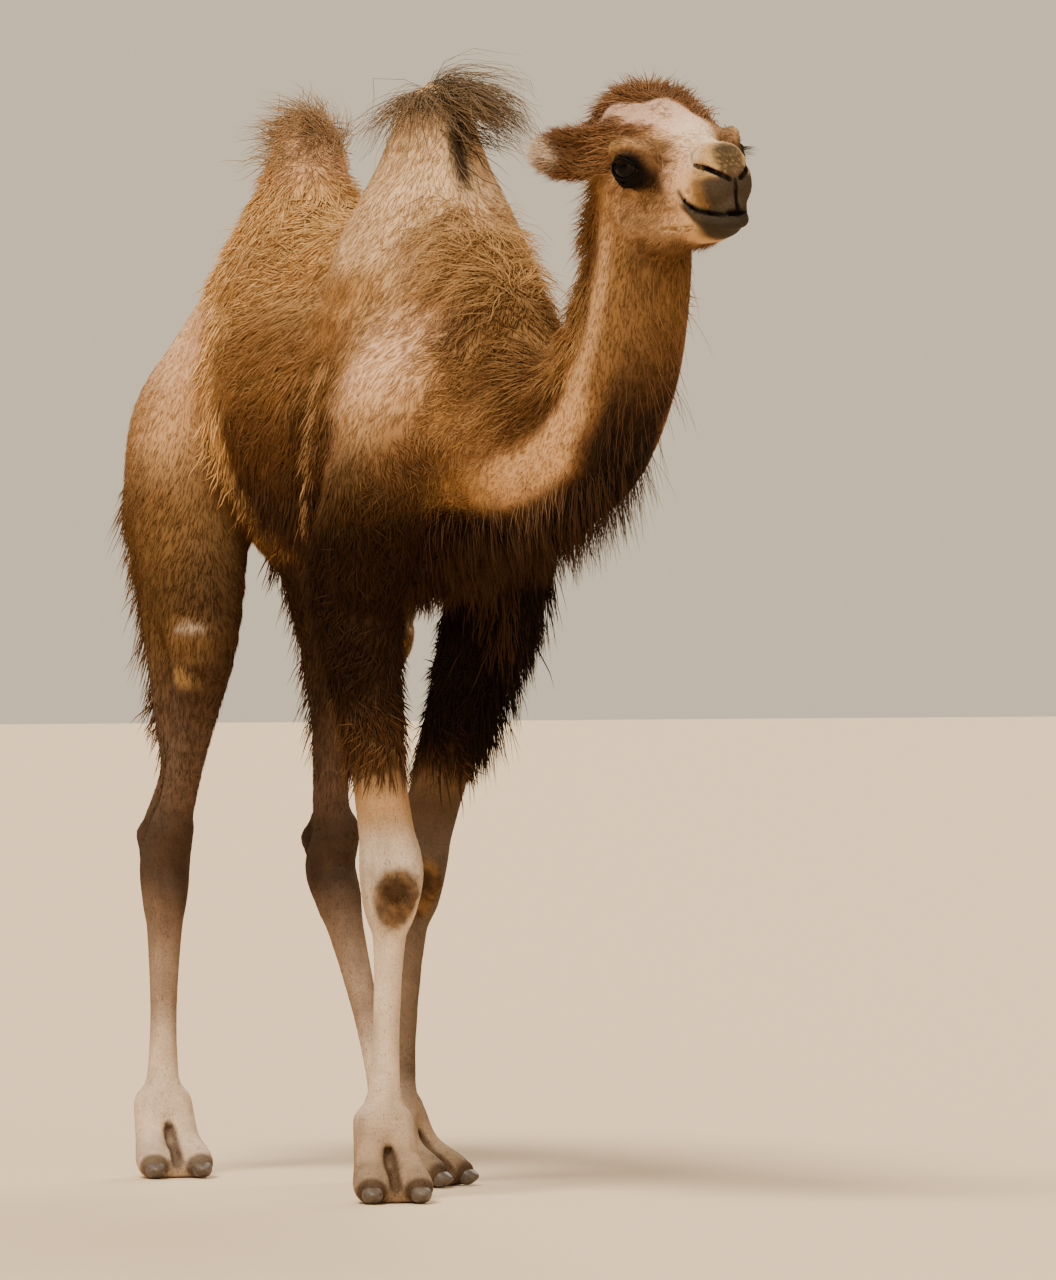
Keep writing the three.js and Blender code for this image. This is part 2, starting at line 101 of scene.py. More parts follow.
NECK_LINE = [(0, -440, 1130, 190), (0, -590, 1085, 165), (4, -720, 1065, 136), (10, -832, 1098, 120),
             (18, -902, 1184, 110), (24, -928, 1280, 104), (26, -938, 1370, 98), (26, -965, 1450, 88)]
TAIL_LINE = [(0, 430, 1180, 34), (0, 490, 1120, 30), (0, 520, 1000, 24), (-4, 524, 880, 22),
             (-6, 520, 780, 30), (-8, 516, 700, 22)]


# ---------------------------------------------------------------- small sums on arrays of points
def vec(*values):
    return np.array(values, np.float32)


def length(v):
    return np.sqrt((v * v).sum(-1))


def unit(v):
    v = np.asarray(v, np.float32)
    return v / np.maximum(length(v)[..., None], 1e-6)


def ramp(x, low, high):
    """0 below low, 1 above high, and a smooth step between them."""
    t = np.clip((np.asarray(x, np.float32) - low) / (high - low), 0, 1)
    return t * t * (3 - 2 * t)


def fall(x, low, high):
    """1 below low and 0 above high."""
    return 1 - ramp(x, low, high)


def spot(p, centre, radii, soft=0.35):
    """1 inside an ellipsoid, falling to 0 just outside it."""
    away = length((p - vec(*centre)) / vec(*radii))
    return fall(away, 1 - soft, 1 + soft)


def mix(a, b, t):
    """a where t is 0 and b where it is 1; t is one number, or one for each row of a or b."""
    t = np.asarray(t, np.float32)
    if np.ndim(t) and np.ndim(a) > 1 or np.ndim(t) and np.ndim(b) and np.shape(b)[-1:] != np.shape(t)[-1:]:
        t = t[..., None]
    return np.asarray(a, np.float32) * (1 - t) + np.asarray(b, np.float32) * t


def fade(a, b, t):
    """Colour a turning into colour b point by point, as t goes from 0 to 1."""
    t = np.asarray(t, np.float32)[:, None]
    return np.asarray(a, np.float32) * (1 - t) + np.asarray(b, np.float32) * t


def mirrored(p, axis=0):
    """Points p with both sides of the camel brought to the left one."""
    q = p.copy()
    q[:, axis] = np.abs(q[:, axis])
    return q


def blend_min(a, b, soft):
    """The smaller of a and b, with the corner between them rounded over soft."""
    h = np.maximum(soft - np.abs(a - b), 0) / soft
    return np.minimum(a, b) - h * h * h * (soft / 6)


def blend(soft, *forms):
    """Forms joined into one, rounded over soft where they meet."""
    def form(p):
        d = forms[0](p)
        for other in forms[1:]:
            d = blend_min(d, other(p), soft)
        return d
    return form


def carve(d, hollow, soft):
    """d with the hollow's inside taken away, rounded over soft."""
    return -blend_min(-d, hollow, soft)


def smooth_rows(rows, steps=4):
    """A smooth run of rows through the given ones, with that many steps to each gap."""
    rows = [np.array(row, float) for row in rows]
    rows = [2 * rows[0] - rows[1], *rows, 2 * rows[-1] - rows[-2]]
    out = []
    for a, b, c, d in zip(rows, rows[1:], rows[2:], rows[3:]):
        for t in np.arange(steps) / steps:
            out.append(0.5 * (2 * b + (c - a) * t + (2 * a - 5 * b + 4 * c - d) * t ** 2
                              + (3 * b - a - 3 * c + d) * t ** 3))
    out.append(rows[-2])
    return np.array(out, np.float32)


def chain(stations, flat=1.0, axis=X_AXIS, steps=4):
    """A rounded limb through stations (x, y, z, radius); flat narrows it along one axis."""
    fine = smooth_rows(stations, steps)
    centre = fine[:, :3].mean(0)
    reach = float((length(fine[:, :3] - centre) + fine[:, 3] * max(1.0, flat)).max())
    narrow, slope, axis = 1 / flat - 1, min(1.0, flat), vec(*axis)

    def form(p):
        d = length(p - centre) - reach
        close = d < 120
        q = p[close]
        if not len(q):
            return d
        best = np.full(len(q), 1e8, np.float32)
        for a, b in zip(fine, fine[1:]):
            along = b[:3] - a[:3]
            v = q - a[:3]
            t = np.clip(v @ along / max(float(along @ along), 1e-9), 0, 1)
            w = v - t[:, None] * along
            square = (w * w).sum(1)
            if narrow:
                side = w @ axis
                square = square + side * side * (2 * narrow + narrow * narrow)
            best = np.minimum(best, np.sqrt(square) - a[3] - (b[3] - a[3]) * t)
        d[close] = best * slope
        return d
    return form


def egg(centre, radii):
    """An ellipsoid."""
    centre, radii = vec(*centre), vec(*radii)

    def form(p):
        local = p - centre
        k0 = length(local / radii)
        k1 = length(local / (radii * radii))
        return k0 * (k0 - 1) / np.maximum(k1, 1e-6)
    return form


# ---------------------------------------------------------------- smooth noise
def hashed(cells, seed):
    """A number from 0 to 1 for each cell of a grid, the same every time."""
    h = (cells[..., 0].astype(np.int64) * 374761393 + cells[..., 1].astype(np.int64) * 668265263
         + cells[..., 2].astype(np.int64) * 2147483647 + seed * 144665) & 0xFFFFFFFF
    h = ((h ^ (h >> 13)) * 1274126177) & 0xFFFFFFFF
    return ((h ^ (h >> 16)) & 0xFFFFFF).astype(np.float32) / 0xFFFFFF


def noise(p, size, seed=0):
    """Smooth noise from -1 to 1 at points p, with lumps about size across."""
    q = p / size
    cell = np.floor(q)
    f = q - cell
    f = f * f * (3 - 2 * f)
    total = 0
    for corner in np.ndindex(2, 2, 2):
        weight = np.prod([f[:, k] if corner[k] else 1 - f[:, k] for k in range(3)], axis=0)
        total = total + weight * hashed(cell + vec(*corner), seed)
    return (2 * total - 1).astype(np.float32)


# ---------------------------------------------------------------- trunk and humps
def add(a, b):
    return tuple(x + y for x, y in zip(a, b))


def between(a, b, t):
    return tuple(x * (1 - t) + y * t for x, y in zip(a, b))


# how far up the hump, and its width there as a share of its girth
HUMP_PROFILE = [(0, 1.12), (0.25, 0.86), (0.5, 0.62), (0.76, 0.42), (0.87, 0.28)]


def hump(y, foot, peak, girth, lean):
    rows = [(0, y + lean * up, foot + (peak - foot) * up, girth * wide) for up, wide in HUMP_PROFILE]
    return chain(rows, 0.84)


barrel = chain([(0, -470, 1105, 185), (0, -320, 1095, 228), (0, -110, 1115, 226), (0, 90, 1150, 200),
                (0, 240, 1140, 172), (0, 330, 1100, 138)], 0.86)
back_line = chain([(0, -600, 1220, 70), (0, -450, 1290, 105), (0, -330, 1310, 110), (0, -120, 1320, 105),
                   (0, 100, 1310, 105), (0, 250, 1245, 95), (0, 350, 1150, 85)], 0.95)
brisket = chain([(0, -500, 1000, 100), (0, -380, 920, 70), (0, -230, 915, 55)], 0.9)
shoulders = [chain([(s * 75, -330, 1270, 60), (s * 114, -420, 1150, 84), (s * 122, -480, 1040, 86)], 0.8)
             for s in SIDES.values()]
haunches = [egg((s * 88, 285, 1045), (92, 165, 165)) for s in SIDES.values()]
trunk_form = blend(70, barrel, back_line, brisket, *shoulders, *haunches)
hump_forms = [hump(**FRONT_HUMP), hump(**REAR_HUMP)]


# ---------------------------------------------------------------- legs
def foot_frame(turn):
    """The ways ahead and across for a foot turned by that many degrees."""
    a = math.radians(turn)
    return (math.sin(a), -math.cos(a), 0), (math.cos(a), math.sin(a), 0)


def foot_point(leg, forward, sideways, height):
    """A place on the foot, measured from straight under the fetlock."""
    ahead, across = foot_frame(leg["turn"])
    x, y, _ = leg["fetlock"]
    return (x + ahead[0] * forward + across[0] * sideways, y + ahead[1] * forward + across[1] * sideways, height)


def foot_form(leg):
    """Two toes that spread from the fetlock over one broad pad."""
    drop = leg["fetlock"][2]
    toes = [chain([(*foot_point(leg, 2, s * 14, drop), 32), (*foot_point(leg, 30, s * 24, drop * 0.52), 26),
                   (*foot_point(leg, 70, s * 33, 26), 26), (*foot_point(leg, 88, s * 35, 20), 20)])
            for s in (1, -1)]
    pad = chain([(*foot_point(leg, -20, 0, 20), 34), (*foot_point(leg, 50, 0, 20), 46)], 0.62, Z_AXIS)
    return blend(16, *toes, pad)


def fore_leg(leg):
    elbow, knee, fetlock = leg["elbow"], leg["knee"], leg["fetlock"]
    limb = chain([
        (*add(elbow, (0, -85, 150)), 98), (*add(elbow, (0, -35, 70)), 98), (*add(elbow, (0, -5, 0)), 86),
        (*between(elbow, knee, 0.35), 66), (*between(elbow, knee, 0.66), 50), (*between(elbow, knee, 0.86), 47),
        (*knee, 54), (*between(knee, fetlock, 0.13), 46), (*between(knee, fetlock, 0.27), 29),
        (*between(knee, fetlock, 0.6), 24), (*between(knee, fetlock, 0.85), 28), (*fetlock, 37)], 0.86)
    return blend(16, limb, foot_form(leg))


def hind_leg(leg):
    """The ham lies behind the thigh bone, and the shin bows away from the line of its joints."""
    hip, stifle, hock, fetlock = leg["hip"], leg["stifle"], leg["hock"], leg["fetlock"]
    ham, bow = leg["ham"], leg["bow"]
    heel = add(hock, (0, 62, 38))
    thigh = chain([
        (*add(hip, (0, -10, 0)), 110), (*add(between(hip, stifle, 0.45), (0, 30, 0)), 118),
        (*add(stifle, (0, 30, 10)), 78), (*add(between(stifle, hock, 0.34), bow), 50),
        (*add(between(stifle, hock, 0.68), tuple(v * 0.6 for v in bow)), 39), (*between(stifle, hock, 0.9), 38)],
        0.74)
    hamstring = chain([
        (*add(between(hip, stifle, 0.35), (0, 120, -10)), 88), (*add(between(stifle, hock, 0.05), ham), 66),
        (*add(between(stifle, hock, 0.4), tuple(v * 0.62 for v in ham)), 43),
        (*add(between(stifle, hock, 0.7), (0, 56, 28)), 22), (*heel, 19)], 0.72)
    shank = chain([
        (*between(stifle, hock, 0.85), 37), (*hock, 43), (*between(hock, fetlock, 0.13), 40),
        (*between(hock, fetlock, 0.28), 31), (*between(hock, fetlock, 0.6), 24),
        (*between(hock, fetlock, 0.85), 27), (*fetlock, 35)], 0.9)
    cord = chain([(*heel, 19), (*add(between(hock, fetlock, 0.2), (0, 26, 0)), 18)])
    return blend(16, blend(40, thigh, hamstring), blend(22, shank, cord), foot_form(leg))


fore_forms = [fore_leg(FORE[side]) for side in SIDES]
hind_forms = [hind_leg(HIND[side]) for side in SIDES]
neck_form = chain(NECK_LINE, 0.74)
tail_form = chain(TAIL_LINE, 1)


# ---------------------------------------------------------------- the head's own frame: forward, left, up
def head_axes():
    yaw, pitch, roll = (math.radians(HEAD[k]) for k in ("yaw", "pitch", "roll"))
    forward = vec(math.sin(yaw) * math.cos(pitch), -math.cos(yaw) * math.cos(pitch), math.sin(pitch))
    level = unit(np.cross((0, 0, 1), forward))
    upright = np.cross(forward, level)
    left = level * math.cos(roll) + upright * math.sin(roll)
    return np.array([forward, left, np.cross(forward, left)], np.float32)


HEAD_AXES = head_axes()
HEAD_AT = vec(*HEAD["at"])


def on_head(forward, left, up):
    return tuple(float(v) for v in HEAD_AT + vec(forward, left, up) @ HEAD_AXES)


def in_head(p):
    return (p - HEAD_AT) @ HEAD_AXES.T


def head_chain(rows, flat=1.0, axis=Y_AXIS):
    """A chain in the head's own (forward, left, up) numbers."""
    return chain(rows, flat, axis)


skull = blend(26, egg((-62, 0, 28), (78, 77, 80)), egg((-15, 0, 24), (62, 72, 48)),
              head_chain([(-70, 0, -22, 66), (0, 0, -32, 66), (60, 0, -38, 48), (94, 0, -38, 36)], 0.92),
              head_chain([(-10, 0, 22, 44), (60, 0, 0, 29), (96, 0, -7, 22)], 1.1))
cheeks = [blend(20, egg((-4, s * 66, 2), (42, 25, 38)),
                head_chain([(-85, s * 26, -30, 52), (-60, s * 28, -80, 38), (0, s * 20, -94, 30),
                            (80, s * 10, -86, 22)])) for s in (1, -1)]
muzzle = blend(10, egg((100, 14, -40), (30, 25, 32)), egg((100, -14, -40), (30, 25, 32)),
               egg((98, 13, -6), (24, 18, 19)), egg((98, -13, -6), (24, 18, 19)),
               head_chain([(50, 0, -80, 27), (94, 0, -80, 27), (106, 0, -75, 25)]))
head_block = blend(28, skull, *cheeks, muzzle)


def ear_run(side):
    """The way from an ear's root to its tip, in the head's own numbers."""
    rows = EAR_LINES[side]
    return unit(vec(*rows[-1][:3]) - vec(*rows[0][:3]))


def ear_block(side):
    """The ear is flat across the line square to its own run and to the head's up."""
    return chain(EAR_LINES[side], 0.62, tuple(unit(np.cross((0, 0, 1), ear_run(side)))))


# ---------------------------------------------------------------- where the coat changes
WOOL_EDGE = [(860, -200), (900, -80), (960, 20), (1029, 80), (1102, 95), (1164, 95), (1258, 125),
             (1322, 162), (1389, 150), (1420, 175)]          # height, and how far back the wool reaches there


def past_wool(p):
    """How far behind the wool's edge a point lies."""
    heights, ends = zip(*WOOL_EDGE)
    return p[:, 1] - np.interp(p[:, 2], heights, ends)


def wool_share(p):
    """1 in the long wool of the flanks and back, 0 on the smooth haunches behind its ragged edge."""
    return fall(past_wool(p) - 14 * noise(p, 45, 3), -16, 16)


def shoulder_share(p):
    """1 on the smooth patch over the shoulder."""
    side = np.abs(p[:, 0])
    q = np.stack([side, p[:, 1] + 22 * noise(p, 60, 66), p[:, 2]], 1)
    high = spot(q, (150, -508, 1160), (200, 66, 100), 0.65)
    middle = spot(q, (160, -464, 1090), (200, 70, 84), 0.6)
    low = spot(q, (172, -415, 1000), (200, 56, 92), 0.6)
    return np.maximum(np.maximum(high, middle), 0.75 * low)


def front_band(p):
    """1 on the pale band of short hair before the front hump."""
    return spot(mirrored(p), (96, -432, 1330), (240, 64, 200), 0.55)


def thin_patch(p):
    """1 on the thinly haired patch on each side of the rear hump."""
    return spot(mirrored(p), (26, 34, 1512), (40, 34, 56), 0.4)


def front_share(p):
    """1 on the front hump and 0 on the rear one."""
    return fall(p[:, 1], -200, -60)


def neck_way(p):
    """How far along the neck's line a point lies (0 chest to 1 head), the line's direction there, how far
    the point is towards the neck's under side, where 1 is the outline, and the way to that side."""
    rows = smooth_rows(NECK_LINE, 8)
    line, radius = rows[:, :3], rows[:, 3]
    nearest = np.argmin(((p[:, None, 1:] - line[None, :, 1:]) ** 2).sum(-1), 1)
    way = unit(np.gradient(line, axis=0))[nearest]
    under = unit(np.stack([0 * way[:, 0], way[:, 2], -way[:, 1]], 1))
    under = under * np.where(under[:, 1] + under[:, 2] > 0, -1, 1)[:, None]
    return nearest / (len(line) - 1), way, ((p - line[nearest]) * under).sum(1) / radius[nearest], under


# ---------------------------------------------------------------- the head's finer forms (forward, side, up)
EYE_OUT = unit(vec(0.42, 0.9, 0.06))
EYE_UP = unit(np.cross(np.cross(EYE_OUT, (0, 0, 1)), EYE_OUT))
EYE_ALONG = np.cross(EYE_OUT, EYE_UP)
RIM_POINTS, LASHES = 24, 60            # points along a lid's rim, and lashes on an upper lid
LID = {"half": 22.5, "above": 13.0, "below": 16.0, "skew": 0.12, "over": 2.6}
MOUTH = [(57, 42, -43, 1.2), (62, 37, -58, 2.6), (79, 31, -70, 3.0), (98, 27, -76, 3.0), (116, 18, -80, 3.0),
         (127, 0, -82, 3.0)]
LOWER_LIP = [(62, 35, -62, 6), (80, 27, -81, 8), (99, 22, -87, 9), (113, 13, -91, 10), (118, 0, -92, 10)]


def on_face(rows, deeper=0.0):
    """Stations (forward, side, up, radius) moved straight onto the face, or that much under it."""
    points = vec(*rows)[:, :3]
    for _ in range(6):
        d, slope = slope_of(lambda p: head_block(p) + 1.4, points)
        points = points - ((d + deeper) / np.maximum((slope * slope).sum(1), 0.3))[:, None] * slope
    return [(*map(float, point), row[3]) for point, row in zip(points, rows)]


def slope_of(form, p, step=0.8):
    """The form's value and its slope at points p."""
    d = form(p)
    return d, np.stack([(form(p + step * vec(*axis)) - d) / step for axis in (X_AXIS, Y_AXIS, Z_AXIS)], 1)


NOSTRIL = on_face([(88, 33, -10, 1.8), (98, 31, -13, 2.6), (109, 26, -19, 3.0), (119, 20, -27, 3.0),
                   (127, 9, -35, 2.6)], 0.8)
crown_form = egg((-78, 0, 52), (46, 72, 54))
brow = chain([(-40, 80, 16, 8), (-24, 87, 28, 12), (0, 86, 31, 11), (22, 76, 24, 8), (38, 64, 14, 6)])
lower_lid = chain([(-28, 86, -16, 4), (-4, 89, -25, 5), (22, 78, -17, 4)])
nostril = chain(NOSTRIL)
nostril_rim = chain(on_face([(f - 2, s, u + 9, r + 2.6) for f, s, u, r in NOSTRIL], 3.4))
nostril_sill = chain(on_face([(f, s + 1, u - 8, r + 0.4) for f, s, u, r in NOSTRIL[:4]], 2.4))
nose_crease = chain([(88, 12, 20, 1.5), (79, 24, 14, 3), (75, 31, 4, 3.2), (80, 35, -6, 2.4)])
lip_crease = chain([(90, 33, -26, 1.5), (84, 37, -38, 2.5), (70, 40, -46, 2)])
mouth = chain(MOUTH)
lower_lip = chain(LOWER_LIP)
mouth_corner = chain([(50, 41, -44, 6), (54, 41, -54, 6), (58, 37, -64, 5)])
philtrum = chain(on_face([(128, 0, -37, 1.2), (132, 0, -50, 1.8), (132, 0, -66, 2.0), (128, 0, -78, 1.6)], 0.4))
cheek_fold = chain([(2, 46, -88, 1.5), (30, 40, -92, 3), (56, 34, -93, 3), (76, 29, -89, 1.2)])
ear_blocks = {side: ear_block(side) for side in SIDES}


def ear_hollow(side):
    """The ear's cup, in front of its own line and a little short of its rim."""
    rows = EAR_LINES[side]
    out = unit(np.cross((0, 0, 1), ear_run(side)))
    out = out if out[0] > 0 else -out
    inner = []
    for row in rows[1:]:
        middle = vec(*row[:3]) * (1 - 0.06) + vec(*rows[1][:3]) * 0.06
        inner.append((*(middle + out * 15), row[3] * 0.62))
    return chain(inner, 0.5, tuple(out))


ear_hollows = {side: ear_hollow(side) for side in SIDES}


def eye_coordinates(q):
    """Along, up and out from the eye's centre, for points (forward, |side|, up)."""
    local = q - vec(*EYE_PLACE)
    return local @ EYE_ALONG, local @ EYE_UP, local @ EYE_OUT


def lid_edges(along):
    """The upper and lower lids' heights across the eye."""
    arch = np.clip(1 - (along / LID["half"]) ** 2, -1, 1)
    middle = -LID["skew"] * along
    return middle + LID["above"] * arch, middle - LID["below"] * arch


def head_depth(p):
    """The coat's depth over the head: short on the face, bare at the muzzle, deep on the crown."""
    forward, side, up = p[:, 0], np.abs(p[:, 1]), p[:, 2]
    face = mix(4.0, 1.4, ramp(forward - 0.4 * up, 30, 80))
    crown = ramp(up - 0.35 * side, 42, 70) * fall(forward, -52, -12)
    throat = ramp(-up, 84, 112) * fall(forward, 20, 60)
    depth = face + 13 * crown + 5 * throat
    eye = spot(mirrored(p, 1), (2, 84, 0), (36, 34, 30), 0.4)
    return mix(depth, 1.5, eye)


def head_skin(p):
    """The head with its lids, nostrils, lips and folds, less the coat's depth."""
    d = head_block(p) + head_depth(p)
    near = d < 45
    if not near.any():
        return d
    q, e = mirrored(p[near], 1), d[near]
    for form, under, soft in ((crown_form, 0, 20), (brow, 3, 13), (lower_lid, 2, 10)):
        e = blend_min(e, form(q) + under, soft)
    along, up, out = eye_coordinates(q)
    ball = length(q - vec(*EYE_PLACE)) - EYE_RADIUS - LID["over"]
    e = blend_min(e, ball, 7)
    high, low = lid_edges(along)
    opening = np.maximum(np.maximum(up - high, low - up) * 0.85, 3 - out)
    e = carve(e, opening, 1.6)
    for form, under, soft in ((nostril_rim, 0, 7), (nostril_sill, 0, 6), (lower_lip, 0, 7),
                              (mouth_corner, 1, 7)):
        e = blend_min(e, form(q) + under, soft)
    for form, soft in ((nose_crease, 7), (lip_crease, 6), (nostril, 2.5), (mouth, 2.2), (philtrum, 2.5),
                       (cheek_fold, 4)):
        e = carve(e, form(q), soft)
    d[near] = e
    return d


def ear_skin(p, side):
    return carve(ear_blocks[side](p) + 5, ear_hollows[side](p), 5)


# ---------------------------------------------------------------- the whole skin
def trunk_depth(p):
    """How deep the coat lies over the trunk."""
    wool = wool_share(p)
    front = fall(p[:, 1], -470, -400)
    deep = mix(26.0, 13.0, front)
    return mix(mix(7.0, deep, wool), 6.0, shoulder_share(p) * wool)


def hump_depth(p):
    front = front_share(p)
    return mix(16.0, 9.0, front) + 8 * fall(p[:, 2], 1320, 1420)


def fore_depth(p):
    return mix(2.5, 13.0, ramp(p[:, 2], 520, 700))


def hind_depth(p):
    back = ramp(p[:, 1], 240, 330)
    return mix(2.5, mix(8.0, 15.0, back), ramp(p[:, 2], 500, 640))


def neck_depth(p):
    share, _, under, _ = neck_way(p)
    return 6.0 + 9 * fall(under, -0.3, 0.2) + 4 * fall(share, 0, 0.35)


def knee_pad(leg):
    """The bare, wrinkled pad that a camel kneels on."""
    x, y, z = leg["knee"]
    pad = egg((x, y - 40, z - 12), (30, 16, 46))

    def form(p):
        folds = np.sin((p[:, 2] - z) / 15 * 2 * math.pi + 2.2 * noise(p, 30, 5))
        return pad(p) + 1.6 * folds * ramp(-(p[:, 1] - y), 20, 40)
    return form


def toe_cleft(leg):
    rows = ((30, 80, 3), (42, 66, 7), (62, 48, 7), (90, 26, 7), (122, 6, 9))
    return chain([(*foot_point(leg, forward, 0, height), radius) for forward, height, radius in rows])


def under_coat(form, depth):
    """A solid's form, drawn in by the coat's depth over it."""
    return lambda p: form(p) + depth(p)


GROUPS = {
    "trunk": under_coat(trunk_form, trunk_depth),
    "hump_front": under_coat(hump_forms[0], hump_depth),
    "hump_rear": under_coat(hump_forms[1], hump_depth),
    "neck": under_coat(neck_form, neck_depth),
    "fore_left": under_coat(fore_forms[0], fore_depth),
    "fore_right": under_coat(fore_forms[1], fore_depth),
    "hind_left": under_coat(hind_forms[0], hind_depth),
    "hind_right": under_coat(hind_forms[1], hind_depth),
    "tail": lambda p: tail_form(p) + 14,
    "head": lambda p: head_skin(in_head(p)),
    "ear_left": lambda p: ear_skin(in_head(p), "left"),
    "ear_right": lambda p: ear_skin(in_head(p), "right"),
}
JOIN = {"trunk": 0, "hump_front": 60, "hump_rear": 60, "neck": 55, "fore_left": 45, "fore_right": 45,
        "hind_left": 45, "hind_right": 45, "tail": 18, "head": 26, "ear_left": 12, "ear_right": 12}
knee_pads = [knee_pad(leg) for leg in FORE.values()]
toe_clefts = [toe_cleft(leg) for leg in (*FORE.values(), *HIND.values())]
SOLE = 0.6                          # the soles stop this far above the floor


def skin_form(p):
    """The distance from the whole skin: all the parts joined, with knee pads, toes and level soles."""
    d = None
    for name, form in GROUPS.items():
        e = form(p)
        d = e if d is None else blend_min(d, e, JOIN[name])
    low = p[:, 2] < 560
    if low.any():
        q, e = p[low], d[low]
        for pad in knee_pads:
            e = blend_min(e, pad(q) + 2, 9)
        for cleft in toe_clefts:
            e = carve(e, cleft(q), 6)
        d[low] = np.maximum(e, SOLE - q[:, 2])
    return d


def settle(form, p, rounds=3, most=3.0):
    """Points p moved onto the form's surface."""
    for _ in range(rounds):
        d, slope = slope_of(form, p)
        move = -(d / np.maximum((slope * slope).sum(1), 0.15))[:, None] * slope
        size = length(move)
        p = p + move * np.minimum(1, most / np.maximum(size, 1e-6))[:, None]
    return p


def sampled(form, low, high, voxel, block=4):
    """The form's values on a grid, worked out only in the blocks that its surface may cross."""
    counts = np.ceil((high - low) / (voxel * block)).astype(int)
    size = voxel * block
    index = np.stack(np.meshgrid(*[np.arange(n) for n in counts], indexing="ij"), -1).reshape(-1, 3)
    middle = (low + (index + 0.5) * size - 0.5 * voxel).astype(np.float32)
    rough = form(middle)
    grid = np.repeat(np.repeat(np.repeat(rough.reshape(counts), block, 0), block, 1), block, 2)
    close = index[np.abs(rough) < size * 1.25]
    step = np.stack(np.meshgrid(*[np.arange(block)] * 3, indexing="ij"), -1).reshape(-1, 3)
    fine = (close[:, None] * block + step[None]).reshape(-1, 3)
    grid[fine[:, 0], fine[:, 1], fine[:, 2]] = form((low + fine * voxel).astype(np.float32))
    return grid


def surface_mesh(form, low, high, voxel):
    """Points and four-cornered faces of the form's surface."""
    grid = sampled(form, low, high, voxel)
    volume = openvdb.FloatGrid(3.0)
    volume.copyFromArray((grid / voxel).astype(np.float32), tolerance=0)
    points, quads = volume.convertToQuads(isovalue=0.0)
    return (points * voxel + low).astype(np.float32), quads.astype(np.int32)


# ---------------------------------------------------------------- colours and markings
def paint(red, green, blue):
    """A colour from 0-255 numbers, made linear."""
    c = np.array((red, green, blue), np.float32) / 255
    return np.where(c <= 0.04045, c / 12.92, ((c + 0.055) / 1.055) ** 2.4).astype(np.float32)


GOLD, TAN, BROWN = paint(216, 170, 110), paint(172, 127, 76), paint(112, 77, 44)
DARK, SOOT = paint(58, 39, 23), paint(25, 17, 11)
BEIGE, PINK, PALE = paint(196, 152, 106), paint(238, 192, 150), paint(226, 200, 168)
GREY_BEIGE, OLIVE, SHIN = paint(218, 180, 136), paint(120, 86, 48), paint(118, 92, 72)
MUZZLE, LIP, NOSE = paint(184, 148, 98), paint(62, 54, 44), paint(44, 36, 28)
CROWN, CREAM, FOREHEAD = paint(140, 96, 60), paint(236, 208, 176), paint(230, 188, 160)


def everywhere(colour, p):
    """The same row for every point of p."""
    return np.broadcast_to(colour, p.shape)


def layers(colour, height, *rows):
    """Colours laid over one another going up; each row is a colour and the heights it comes in between."""
    for over, low, high in rows:
        colour = mix(colour, over, ramp(height, low, high))
    return colour


def spots(colour, p, *rows):
    """Patches of colour; each row is a colour, its strength, and the centre, radii and softness of a spot."""
    for over, strength, centre, radii, soft in rows:
        colour = mix(colour, over, strength * spot(p, centre, radii, soft))
    return colour


cord = chain([(174, -330, 1191, 10), (187, -312, 1136, 12), (189, -312, 1082, 13), (179, -268, 1014, 12),
              (133, -170, 946, 8)])                        # a loose rope of shed wool down the flank
tuft_line = chain([(118, -350, 1338, 10), (104, -230, 1326, 14), (99, -186, 1322, 14), (117, -110, 1291, 10)])
# the fold in front of each shoulder, along which shade is painted
shoulder_crease_shade = chain([(78, -590, 1250, 10), (97, -649, 1145, 16), (100, -654, 1012, 20)])


